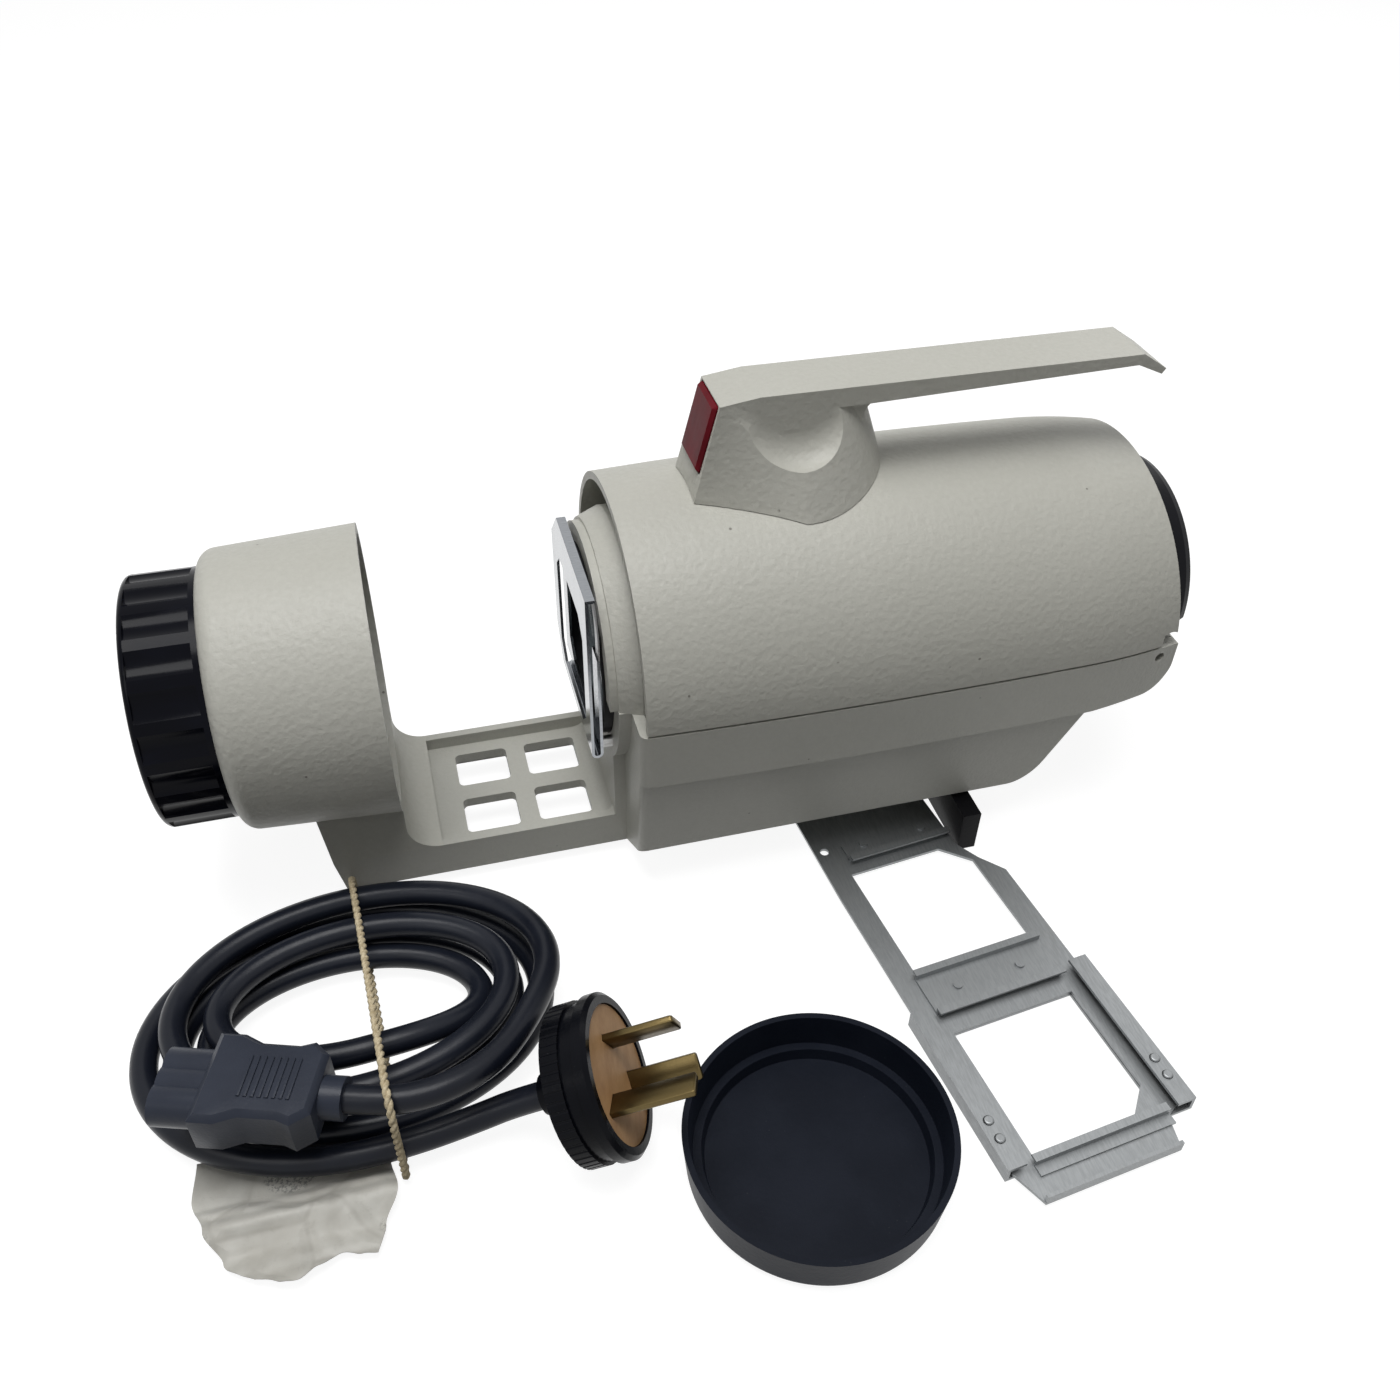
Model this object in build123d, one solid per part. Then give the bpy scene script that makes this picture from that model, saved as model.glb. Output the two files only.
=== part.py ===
from build123d import *
import math
import os

# Compact slide projector for two inch square slides, as it lies in the photograph.
# Millimetres. X runs along the optical axis, lens at minus X, lamp house at plus X.
# Z is up and the floor is z = 0. The origin is the middle of the rear foot's underside.

# Optical axis and general sheet and wall sizes
AXIS_HEIGHT = 63.0
SEAM_GAP = 0.8
CASTING_WALL = 3.0
COVER_WALL = 2.2
SEAT_GAP = 0.25
RUN_CLEARANCE = 0.08
SLIDE_CLEARANCE = 0.3
HOLE_CLEARANCE = 0.1

# Lens and collar
COLLAR_FRONT_X = -201.7
COLLAR_REAR_X = -161.2
COLLAR_FRONT_RADIUS = 37.4
COLLAR_REAR_RADIUS = 39.4
COLLAR_NOSE_ROUND = 4.5
COLLAR_BULKHEAD = 3.0
RING_FRONT_X = -220.0
RING_LENGTH = 22.8
RING_RADIUS = 33.4
RING_LIP = 3.0
FLUTE_COUNT = 20
FLUTE_RADIUS = 9.0
FLUTE_DEPTH = 1.0
TUBE_RADIUS = 28.0
TUBE_WALL = 2.6
TUBE_LENGTH = 47.0
TUBE_SETBACK = 9.0
GUIDE_WALL = 1.9
FRONT_LENS_THICKNESS = 7.0
REAR_LENS_THICKNESS = 5.5
LENS_EDGE = 2.0
RETAINER_LENGTH = 1.6
RETAINER_WALL = 2.6

# Rail, tray and pedestal
RAIL_HALF_WIDTH = 23.8
RAIL_BOTTOM_Z = 3.8
RAIL_TOP_Z = 15.1
TRAY_FLOOR_Z = 11.1
TRAY_PLATE = 3.0
TRAY_RIM = 2.4
RAIL_FRONT_X = -180.2
RAIL_FRONT_RAKE = 2.2
PEDESTAL_RAKE = 2.8
TRAY_FILLET = 9.0
HOLE_LENGTH = 15.6
HOLE_WIDTH = 13.8
HOLE_BAR_X = 5.7
HOLE_BAR_Y = 6.0
HOLE_CENTRE_X = -125.9
HOLE_CORNER = 1.6
MOUNT_SCREW_X = -171.5
MOUNT_SCREW_Y = 9.0
MOUNT_SCREW_TOP = 21.0

# Lamp house base
HULL_FRONT_X = -98.9
CHINE_HALF_WIDTH = 41.0
CHINE_Z = 16.0
CREASE_HALF_WIDTH = 44.3
CREASE_Z = 45.0
HULL_REAR_X = 15.5
HULL_REAR_TOP_X = 33.4
HULL_REAR_ROUND = 9.0
BAND_REAR_X = 58.0
BAND_REAR_ROUND = 9.5
BAND_REAR_LIFT = 2.0
BAND_CORNER_ROUND = 2.5
DRIFT_HOLE_X = 52.3
DRIFT_HOLE_Z = 59.3
DRIFT_HOLE_RADIUS = 1.5
CRADLE_LENGTH = 3.3
CRADLE_RADIUS = 34.2

# Body curve, shared by the cover and the base band
BODY_FRONT_X = -97.2
BODY_FRONT_RADIUS = 45.4
BODY_MID_X = -30.0
BODY_MID_RADIUS = 46.8
BODY_BACK_X = 27.0
BODY_BACK_RADIUS = 46.0
BODY_SHOULDER_X = 45.0
BODY_SHOULDER_RADIUS = 44.6
BODY_REAR_X = 57.0
BODY_REAR_RADIUS = 42.5
COVER_REAR_RAKE = 4.0
COVER_HEEL_RADIUS = 4.4

# Cover hinge
HINGE_X = 54.2
HINGE_PIN_RADIUS = 1.25
HINGE_KNUCKLE_RADIUS = 2.9
HINGE_LUG_OUTER_Y = 39.2
HINGE_LUG_THICKNESS = 1.5

# Handle and catch
HANDLE_HALF_WIDTH = 8.7
HANDLE_TOP_Z = 135.7
NOSE_FOOT = (-76.6, 106.5)
NOSE_TOP = (-69.7, 134.2)
FACET_LENGTH = 10.5
GRIP_END_X = 47.0
GRIP_FRONT_THICKNESS = 5.2
GRIP_REAR_THICKNESS = 3.0
GRIP_LIP_LENGTH = 7.6
GRIP_LIP_DROP = 4.8
SKIRT_HALF_WIDTH = 20.5
SKIRT_NOSE_HALF_WIDTH = 10.0
SKIRT_WIDEST_X = -49.0
SKIRT_END_X = -19.8
GRIP_ROOT_X = -30.0
SCOOP_X = -49.5
SCOOP_Z = 136.5
SCOOP_RADIUS = 19.4
SCOOP_ROUND = 8.0
BUTTON_WIDTH = 15.2
BUTTON_HEIGHT = 18.6
BUTTON_DEPTH = 5.4
BUTTON_PROUD = 1.2
BUTTON_TRAVEL = 2.5
BUTTON_BEVEL = 0.9
BUTTON_MID_FRACTION = 0.655
CATCH_WIDTH = 7.0
CATCH_THICKNESS = 1.6
CATCH_X = -62.0
CATCH_HOOK_Z = 99.7
CATCH_TOE = 3.6
KEEPER_THICKNESS = 1.5
KEEPER_OVERLAP = 1.8
KEEPER_LENGTH = 9.0
HANDLE_SCREW_XS = (-54.0, -36.0)
HANDLE_SCREW_TOP = 120.0

# Gate
GATE_X = -108.0
GATE_SHEET = 0.8
GATE_SLOT = 1.7
GATE_HALF_WIDTH = 25.0
GATE_BOTTOM_Z = 41.4
GATE_TOP_Z = 93.6
GATE_BACK_TOP_Z = 84.5
GATE_NEAR_TOP_Z = 74.0
GATE_CORNER = 10.0
GATE_FLANGE = 2.6
APERTURE = 37.0
APERTURE_CORNER = 5.0
GATE_SPRING_WIDTH = 3.6
GATE_SPRING_SHEET = 0.4
GATE_SPRING_SLACK = 0.1
GATE_POST_OFFSET = 22.5
GATE_POST_RADIUS = 1.7
GATE_POST_SHARE = 0.88

# Condenser
HOOD_FRONT_X = -104.3
HOOD_STEP = 2.2
HOOD_RADIUS = 32.7
HOOD_SECOND_RADIUS = 33.6
HOOD_REAR_RADIUS = 36.0
HOOD_CONE_LENGTH = 6.0
HOOD_REAR_X = -58.0
HOOD_WALL = 2.4
BARREL_RADIUS = 27.3
BARREL_WALL = 2.0
BARREL_LENGTH = 34.5
CONDENSER_THICKNESS = 9.0
CONDENSER_GAP = 3.0
HEAT_GLASS_THICKNESS = 3.0

# Lamp, reflector and deck
DECK_Z = 33.0
DECK_SHEET = 1.2
DECK_REAR_X = 22.0
DECK_LEDGE = 3.0
LAMP_X = -44.0
LAMP_RADIUS = 12.0
LAMP_TOP_Z = 84.0
LAMP_GLASS = 0.8
LAMP_CAP_RADIUS = 8.0
LAMP_CAP_HEIGHT = 10.0
SOCKET_RADIUS = 13.0
SOCKET_HEIGHT = 8.0
SOCKET_FLOOR = 2.0
FILAMENT_WIRE = 0.6
FILAMENT_WIDTH = 7.0
REFLECTOR_RADIUS = 23.0
REFLECTOR_SHEET = 1.0
REFLECTOR_RIM_RADIUS = 19.0
BAFFLE_X = -10.0
BAFFLE_SHEET = 1.0
BAFFLE_RADIUS = 37.0
BAFFLE_SLOT_COUNT = 5

# Fan
COWL_FLANGE_X = 46.0
COWL_FLANGE_RADIUS = 39.8
COWL_FLANGE_THICKNESS = 2.0
COWL_TAB_Z = 51.5
COWL_TAB_HALF_WIDTH = 27.0
COWL_NECK_RADIUS = 35.4
COWL_REAR_X = 66.0
COWL_REAR_RADIUS = 32.6
COWL_WALL = 2.0
COWL_SCREW_Y = 22.0
COWL_SCREW_Z = 56.5
COWL_SCREW_RADIUS = 1.2
COWL_SCREW_HEAD = 1.4
COWL_SCREW_HEAD_RADIUS = 2.3
GRILLE_SLOT_COUNT = 9
GRILLE_SLOT_WIDTH = 3.0
GRILLE_HUB_RADIUS = 10.0
BRACKET_SHEET = 2.0
BRACKET_DISC_RADIUS = 15.5
MOTOR_RADIUS = 14.0
MOTOR_LENGTH = 26.0
SHAFT_RADIUS = 1.5
FAN_FRONT_X = 3.5
FAN_RADIUS = 27.5
FAN_HUB_RADIUS = 9.0
FAN_LENGTH = 9.0
FAN_BLADE_COUNT = 7
FAN_BLADE_SHEET = 1.2
FAN_BLADE_PITCH = 32.0

# Rear foot and front pads
FOOT_HALF_THICKNESS = 2.8
FOOT_HALF_WIDTH = 49.0
FOOT_WING_Z = 14.0
FOOT_SCREW_Y = 13.0
PAD_X = -170.5
PAD_Y = 16.5
PAD_RADIUS = 4.6
SCREW_RADIUS = 1.5
SCREW_HEAD_RADIUS = 2.6
SCREW_HEAD_HEIGHT = 1.6

# Mains inlet and switch, on the side that faces away from the photograph
PANEL_Y = 44.6
PANEL_X_SPAN = (-84.0, 2.0)
PANEL_Z_SPAN = (19.0, 41.0)
INLET_X = -20.0
INLET_Z = 30.0
INLET_WIDTH = 30.0
INLET_HEIGHT = 16.0
INLET_DEPTH = 20.0
INLET_WALL = 1.8
INLET_RIM = 3.0
INLET_RIM_THICKNESS = 1.6
INLET_PIN_RADIUS = 2.0
INLET_PIN_PITCH = 7.5
SWITCH_X = -64.0
SWITCH_WIDTH = 19.0
SWITCH_HEIGHT = 13.0
SWITCH_DEPTH = 14.0
ROCKER_THICKNESS = 5.0
ROCKER_PIVOT_RADIUS = 1.0

# Slide changer, lying on the floor with its far end under the lamp house
CHANGER_X = -17.6
CHANGER_Y = -70.4
CHANGER_TURN = -83.4
CHANGER_SHEET = 0.9
CHANGER_LIFT = 0.3
FRAME_START = 30.5
FRAME_LENGTH = 47.5
FRAME_HALF_WIDTH = 27.2
FRAME_WINDOW_START = 38.0
FRAME_WINDOW_LENGTH = 38.5
CHANNEL_HEIGHT = 4.9
CHANNEL_LIP = 5.3
CARRIAGE_START = -46.0
CARRIAGE_END = 87.0
CARRIAGE_HALF_WIDTH = 25.4
CARRIAGE_NECK_HALF_WIDTH = 16.8
CARRIAGE_NECK_END = -13.0
CARRIAGE_NECK_SLOPE = 7.0
WINDOW_LENGTH = 38.0
WINDOW_WIDTH = 36.6
WINDOW_PITCH = 58.4
WINDOW_CORNER = 7.5
LIP_HALF_LENGTH = 19.5
LIP_RISE = 2.4
LIP_DEPTH = 3.0
RAIL_SHEET = 0.6
TOP_LIP_END = -25.0
TOP_LIP_HALF_LENGTH = 16.4
TOP_LIP_LENGTH = 6.2
MID_LIP_START = 19.6
MID_LIP_LENGTH = 12.2
END_LIP_START = 77.6
END_LIP_LENGTH = 3.4
CHANGER_RIVET_RADIUS = 1.3
CHANGER_RIVET_HEAD = 0.6
CHANGER_RIVET_US = (64.8, 70.0)
CHANGER_SPRING_SHEET = 0.3
CHANGER_SPRING_WIDTH = 2.6

# Lens cap, lying open side up
CAP_X = -77.3
CAP_Y = -134.2
CAP_RADIUS = 32.6
CAP_BASE_RADIUS = 31.3
CAP_HEIGHT = 13.4
CAP_WALL = 1.5
CAP_FLOOR = 1.6
CAP_LEDGE = 2.0
CAP_LEDGE_HEIGHT = 3.0
CAP_BASE_ROUND = 3.0

# Mains lead
CORD_RADIUS = 3.4
COIL_X = -180.6
COIL_Y = -70.5
COIL_HALF_LENGTH = 54.6
COIL_HALF_WIDTH = 40.4
COIL_PITCH = 8.0
COIL_LOWEST_Z = 6.0
COIL_LAYER_RISE = 7.6
COIL_RISE_START = 2.75
COIL_RISE_END = 3.0
COIL_TURNS = 4.86
COIL_END_DEPTH = 4.0
COIL_START_LIFT = 2.0
COIL_START_LIFT_TURNS = 0.3
COIL_END_LIFT = 7.35
COIL_END_LIFT_TURNS = 0.3667
COIL_TAIL = 7.0
COIL_START_TURN = -0.2167
COIL_SHIFT_X = 0.6
COIL_SHIFT_Y = 1.2
COIL_SAMPLES = 16

# Mains plug, standing on its rim, and the lead's connector on top of the coil
PLUG_AT = (-120.45, -113.5, 22.3)
PLUG_YAW = -12.7
PLUG_CORD_LEAD = 8.6
CONNECTOR_CORD_START = 7.61
CONNECTOR_CORD_LEAD = 8.91
CONNECTOR_CORD_BENDS = (
    (-148.75, -103.79, 24.28),
    (-156.37, -108.0, 25.07),
    (-164.95, -110.0, 25.57),
)
PLUG_TILT = 23.7
PLUG_ROLL = 12.0
PLUG_RADIUS = 19.6
PLUG_FACE_RADIUS = 16.6
PLUG_FACE_THICKNESS = 2.0
PLUG_FACE_RECESS = 0.6
PLUG_RIM = 3.4
PLUG_WAIST_RADIUS = 18.4
PLUG_KNURL_START = 7.0
PLUG_KNURL_END = 11.5
PLUG_BACK = 15.5
PLUG_TAIL_RADIUS = 5.4
PLUG_TAIL_END = 19.5
PLUG_NOTCHES = 54
BLADE_WIDTH = 6.35
BLADE_SHEET = 1.63
BLADE_LENGTH = 17.0
EARTH_LENGTH = 20.0
BLADE_ORBIT = 7.9
EARTH_ORBIT = 10.3
BLADE_SPLAY = 30.0
CONNECTOR_AT = (-199.52, -100.71, 25.8)
CONNECTOR_TURN = -19.0
CONNECTOR_LENGTH = 26.5
CONNECTOR_WIDTH = 23.0
CONNECTOR_HEIGHT = 13.2
CONNECTOR_WAIST = 2.0
CONNECTOR_NOSE_LENGTH = 10.5
CONNECTOR_NOSE_WIDTH = 19.0
CONNECTOR_NOSE_HEIGHT = 9.7
CONNECTOR_STUB_RADIUS = 5.0
CONNECTOR_STUB_LENGTH = 5.0
CONNECTOR_RIB_COUNT = 8

# Twine tie and blank paper tag
TWINE_RADIUS = 1.1
TWINE_FAR = (-184.0, -25.0)
TWINE_NEAR = (-171.8, -118.2)
TWINE_ROUND = 3.6
TWINE_TOP_Z = 18.6
TWINE_CREST_Z = 32.6
TAG_SHEET = 0.5

OPTICAL_AXIS = Axis((0, 0, AXIS_HEIGHT), (1, 0, 0))
SEAM_LOW = AXIS_HEIGHT - SEAM_GAP / 2
SEAM_HIGH = AXIS_HEIGHT + SEAM_GAP / 2
FAR = 400.0
PARTS = {}


# Small shape helpers

def block(x_span, y_span, z_span):
    """Box between three pairs of limits."""
    spans = (x_span, y_span, z_span)
    size = [high - low for low, high in spans]
    centre = [(low + high) / 2 for low, high in spans]
    return Pos(*centre) * Box(*size)


def mirrored(low_high):
    """A pair of limits on both sides of zero."""
    return (-low_high, low_high)


def rod(x_span, radius, y=0.0, z=AXIS_HEIGHT):
    """Cylinder along X, on the optical axis unless told otherwise."""
    length = x_span[1] - x_span[0]
    middle = (x_span[0] + x_span[1]) / 2
    return Pos(middle, y, z) * Rot(0, 90, 0) * Cylinder(radius, length)


def cross_rod(y_span, radius, x, z):
    """Cylinder along Y."""
    length = y_span[1] - y_span[0]
    middle = (y_span[0] + y_span[1]) / 2
    return Pos(x, middle, z) * Rot(90, 0, 0) * Cylinder(radius, length)


def post(z_span, radius, x, y):
    """Cylinder along Z."""
    length = z_span[1] - z_span[0]
    return Pos(x, y, (z_span[0] + z_span[1]) / 2) * Cylinder(radius, length)


def turned(*stations):
    """Solid turned about the optical axis from (x, radius) corners."""
    corners = [(x, AXIS_HEIGHT + radius) for x, radius in stations]
    outline = Plane.XZ * make_face(Polyline(*corners, close=True))
    return revolve(outline, OPTICAL_AXIS, 360)


def side_prism(corners, half_width):
    """Prism across Y from (x, z) corners."""
    outline = Plane.XZ * make_face(Polyline(*corners, close=True))
    return extrude(outline, half_width, both=True)


def keep(name, shape):
    """Record one finished piece, or a group of loose solids, under its node name."""
    PARTS[name] = shape


# Lens, collar and pedestal

def make_lens_mount():
    shell = turned(
        (COLLAR_FRONT_X, 0),
        (COLLAR_FRONT_X, COLLAR_FRONT_RADIUS),
        (COLLAR_REAR_X, COLLAR_REAR_RADIUS),
        (COLLAR_REAR_X, 0),
    )
    front_edge = shell.edges().filter_by(GeomType.CIRCLE).group_by(Axis.X)[0]
    shell = fillet(front_edge, COLLAR_NOSE_ROUND)
    pedestal = side_prism(
        [
            (RAIL_FRONT_X - RAIL_FRONT_RAKE, RAIL_TOP_Z),
            (RAIL_FRONT_X - RAIL_FRONT_RAKE - PEDESTAL_RAKE, AXIS_HEIGHT - COLLAR_REAR_RADIUS / 2),
            (COLLAR_REAR_X, AXIS_HEIGHT - COLLAR_REAR_RADIUS / 2),
            (COLLAR_REAR_X, RAIL_TOP_Z),
        ],
        RAIL_HALF_WIDTH,
    )
    sweep_in = block(
        (COLLAR_REAR_X, COLLAR_REAR_X + TRAY_FILLET),
        mirrored(RAIL_HALF_WIDTH),
        (RAIL_TOP_Z, RAIL_TOP_Z + TRAY_FILLET),
    ) - cross_rod(
        mirrored(FAR),
        TRAY_FILLET,
        COLLAR_REAR_X + TRAY_FILLET,
        RAIL_TOP_Z + TRAY_FILLET,
    )
    body = shell + pedestal + sweep_in
    hollow_front = COLLAR_FRONT_X + COLLAR_BULKHEAD
    wall = COLLAR_BULKHEAD * 0.9
    body -= turned(
        (hollow_front, 0),
        (hollow_front, COLLAR_FRONT_RADIUS - wall),
        (COLLAR_REAR_X, COLLAR_REAR_RADIUS - wall),
        (COLLAR_REAR_X + 1, 0),
    )
    bulkhead_x = COLLAR_REAR_X - TUBE_LENGTH / 3
    body += rod(
        (bulkhead_x, bulkhead_x + COLLAR_BULKHEAD), COLLAR_FRONT_RADIUS - COLLAR_BULKHEAD / 2
    )
    bore = TUBE_RADIUS + RUN_CLEARANCE + GUIDE_WALL + HOLE_CLEARANCE
    body -= rod((bulkhead_x - 1, COLLAR_REAR_X), bore)
    body -= rod((COLLAR_FRONT_X - 1, bulkhead_x), bore)
    ring_room = RING_RADIUS + SLIDE_CLEARANCE
    body -= rod((COLLAR_FRONT_X - 1, ring_rear_x() + SLIDE_CLEARANCE), ring_room)
    body += turned(
        (ring_rear_x() + SLIDE_CLEARANCE, bore),
        (ring_rear_x() + SLIDE_CLEARANCE, COLLAR_FRONT_RADIUS - COLLAR_BULKHEAD / 2),
        (ring_rear_x() + SLIDE_CLEARANCE + COLLAR_BULKHEAD, COLLAR_FRONT_RADIUS - COLLAR_BULKHEAD / 2),
        (ring_rear_x() + SLIDE_CLEARANCE + COLLAR_BULKHEAD, bore),
    )
    for y in mirrored(MOUNT_SCREW_Y):
        body -= post((RAIL_TOP_Z - 1, MOUNT_SCREW_TOP), SCREW_RADIUS + HOLE_CLEARANCE, MOUNT_SCREW_X, y)
    keep("lens_mount", body)


def ring_rear_x():
    return RING_FRONT_X + RING_LENGTH


def make_focus_ring():
    rear = ring_rear_x()
    inner = TUBE_RADIUS + RUN_CLEARANCE + GUIDE_WALL + RUN_CLEARANCE
    lip_rear = RING_FRONT_X + RING_LIP
    lip_radius = TUBE_RADIUS - RING_LIP / 2
    ring = turned(
        (RING_FRONT_X, lip_radius),
        (RING_FRONT_X, RING_RADIUS),
        (rear, RING_RADIUS),
        (rear, inner),
        (lip_rear, inner),
        (lip_rear, lip_radius),
    )
    front_rim = ring.edges().filter_by(GeomType.CIRCLE).group_by(Axis.X)[0].sort_by(SortBy.RADIUS)[-1]
    ring = fillet(front_rim, 1.5)
    orbit = RING_RADIUS + FLUTE_RADIUS - FLUTE_DEPTH
    flutes = []
    for index in range(FLUTE_COUNT):
        angle = math.tau * index / FLUTE_COUNT
        flutes.append(
            rod(
                (RING_FRONT_X + RING_LIP / 2, rear - RING_LIP * 2),
                FLUTE_RADIUS,
                orbit * math.cos(angle),
                AXIS_HEIGHT + orbit * math.sin(angle),
            )
        )
    keep("focus_ring", ring - flutes)


def make_lens_guide():
    inner = TUBE_RADIUS + RUN_CLEARANCE
    outer = inner + GUIDE_WALL
    front = RING_FRONT_X + RING_LIP + SLIDE_CLEARANCE
    rear = COLLAR_REAR_X - TUBE_LENGTH / 3 + COLLAR_BULKHEAD
    keep("lens_guide", rod((front, rear), outer) - rod((front - 1, rear + 1), inner))


def tube_front_x():
    return RING_FRONT_X + TUBE_SETBACK


def lens_disc(x, thickness, radius, sag, bulge_front):
    """Lens with one flat face; the other bulges by the sag, at the front or the rear."""
    rear = x + thickness
    high = AXIS_HEIGHT + radius
    dome = ThreePointArc(
        (rear, AXIS_HEIGHT), (rear - sag / 4, AXIS_HEIGHT + radius / 2), (rear - sag, high)
    )
    edges = [
        Line((x, high), (x, AXIS_HEIGHT)).edge(),
        Line((x, AXIS_HEIGHT), (rear, AXIS_HEIGHT)).edge(),
        dome.edge(),
        Line((rear - sag, high), (x, high)).edge(),
    ]
    lens = revolve(Plane.XZ * make_face(Wire(edges)), OPTICAL_AXIS, 360)
    if bulge_front:
        lens = lens.rotate(Axis((x + thickness / 2, 0, 0), (0, 0, 1)), 180)
    return lens


def make_lens_tube():
    front = tube_front_x()
    rear = front + TUBE_LENGTH
    inner = TUBE_RADIUS - TUBE_WALL
    tube = rod((front, rear), TUBE_RADIUS) - rod((front - 1, rear + 1), inner)
    seat_front = front + RETAINER_LENGTH * 2 + FRONT_LENS_THICKNESS
    seat = rod((seat_front, seat_front + RETAINER_LENGTH), inner) - rod(
        (seat_front - 1, seat_front + RETAINER_LENGTH + 1), inner - RETAINER_WALL
    )
    rear_seat = rear - REAR_LENS_THICKNESS - RETAINER_LENGTH
    seat_back = rod((rear_seat - RETAINER_LENGTH, rear_seat), inner) - rod(
        (rear_seat - RETAINER_LENGTH - 1, rear_seat + 1), inner - RETAINER_WALL
    )
    keep("lens_tube", tube + seat + seat_back)
    lens_radius = inner - HOLE_CLEARANCE
    front_lens_x = seat_front - FRONT_LENS_THICKNESS + LENS_EDGE
    front_start = front_lens_x - LENS_EDGE
    keep("front_lens", lens_disc(front_start, FRONT_LENS_THICKNESS, lens_radius, LENS_EDGE, True))
    keep("rear_lens", lens_disc(rear_seat, REAR_LENS_THICKNESS, lens_radius, LENS_EDGE, False))
    dome_rise = LENS_EDGE * (1 - ((lens_radius - RETAINER_WALL) / lens_radius) ** 2)
    ring_front = seat_front - FRONT_LENS_THICKNESS + LENS_EDGE - RETAINER_LENGTH - dome_rise
    keep(
        "lens_retainer",
        rod((ring_front, ring_front + RETAINER_LENGTH), lens_radius)
        - rod((ring_front - 1, ring_front + RETAINER_LENGTH + 1), lens_radius - RETAINER_WALL),
    )


# Body curve and lamp house base

def body_curve(inset=0.0):
    """Edges of the body's half outline, as (x, radius), from front to rear."""
    first = ThreePointArc(
        (BODY_FRONT_X, BODY_FRONT_RADIUS - inset),
        (BODY_MID_X, BODY_MID_RADIUS - inset),
        (BODY_BACK_X, BODY_BACK_RADIUS - inset),
    )
    second = ThreePointArc(
        (BODY_BACK_X, BODY_BACK_RADIUS - inset),
        (BODY_SHOULDER_X, BODY_SHOULDER_RADIUS - inset),
        (BODY_REAR_X, BODY_REAR_RADIUS - inset),
    )
    return first, second


def body_plan(inset):
    """Face in plan between the two body curves, from well before to well behind the body."""
    near_first, near_second = body_curve(inset)
    front = BODY_FRONT_RADIUS - inset
    rear = BODY_REAR_RADIUS - inset
    front_x = BODY_FRONT_X - CASTING_WALL * 2
    rear_x = BODY_REAR_X + CASTING_WALL * 2
    half = [
        Line((front_x, front), (BODY_FRONT_X, front)).edge(),
        near_first.edge(),
        near_second.edge(),
        Line((BODY_REAR_X, rear), (rear_x, rear)).edge(),
    ]
    ends = [
        Line((front_x, -front), (front_x, front)).edge(),
        Line((rear_x, rear), (rear_x, -rear)).edge(),
    ]
    return make_face(Wire(half + ends + [edge.mirror(Plane.XZ) for edge in half]))


def hull_section(inset):
    """Half hull section corners as (y, z), inset by a wall."""
    return [
        (CREASE_HALF_WIDTH - inset, CREASE_Z + 1),
        (CHINE_HALF_WIDTH - inset, CHINE_Z + inset / 2),
        (RAIL_HALF_WIDTH - inset / 2, RAIL_BOTTOM_Z + inset),
    ]


def hull_prism(inset):
    """Lower hull of the lamp house, cut back along its raked rear wall."""
    half = hull_section(inset)
    corners = half + [(-y, z) for y, z in reversed(half)]
    front = HULL_FRONT_X + inset
    length = BAND_REAR_X - front
    section = make_face(Polyline(*corners, close=True))
    prism = extrude(Plane(origin=(front, 0, 0), x_dir=(0, 1, 0), z_dir=(1, 0, 0)) * section, length)
    side = side_prism(
        [
            (front, RAIL_BOTTOM_Z + inset),
            (HULL_REAR_X - inset, RAIL_BOTTOM_Z + inset),
            (HULL_REAR_TOP_X - inset, CREASE_Z + 1),
            (front, CREASE_Z + 1),
        ],
        FAR,
    )
    hull = prism & side
    rear_wall = hull.faces().sort_by(Axis.X)[-1]
    low_edges = [edge for edge in rear_wall.edges() if edge.center().Z < CHINE_Z]
    hull = fillet(low_edges, HULL_REAR_ROUND - inset)
    uprights = [
        edge
        for edge in hull.faces().sort_by(Axis.X)[0].edges()
        if abs(edge.center().Y) > RAIL_HALF_WIDTH and edge.center().Z > CHINE_Z
    ]
    return fillet(uprights, BAND_CORNER_ROUND)


def band_prism(inset, floor_lift):
    """Band under the seam; its bottom edge is rounded up at the rear."""
    bottom = CREASE_Z + floor_lift
    front = HULL_FRONT_X + inset
    rear = BAND_REAR_X - inset
    band = extrude(Pos(0, 0, bottom) * body_plan(inset), SEAM_LOW - bottom)
    side = side_prism(
        [
            (front, bottom),
            (HULL_REAR_TOP_X, bottom),
            (rear, bottom + BAND_REAR_LIFT),
            (rear, SEAM_LOW),
            (front, SEAM_LOW),
        ],
        FAR,
    )
    heel = side.edges().filter_by(Axis.Y).sort_by_distance((rear, 0, bottom + BAND_REAR_LIFT))[0]
    band &= fillet(heel, BAND_REAR_ROUND - inset)
    corners = band.edges().filter_by(Axis.Z).group_by(Axis.X)
    band = fillet(corners[0], BAND_CORNER_ROUND)
    return band


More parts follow.
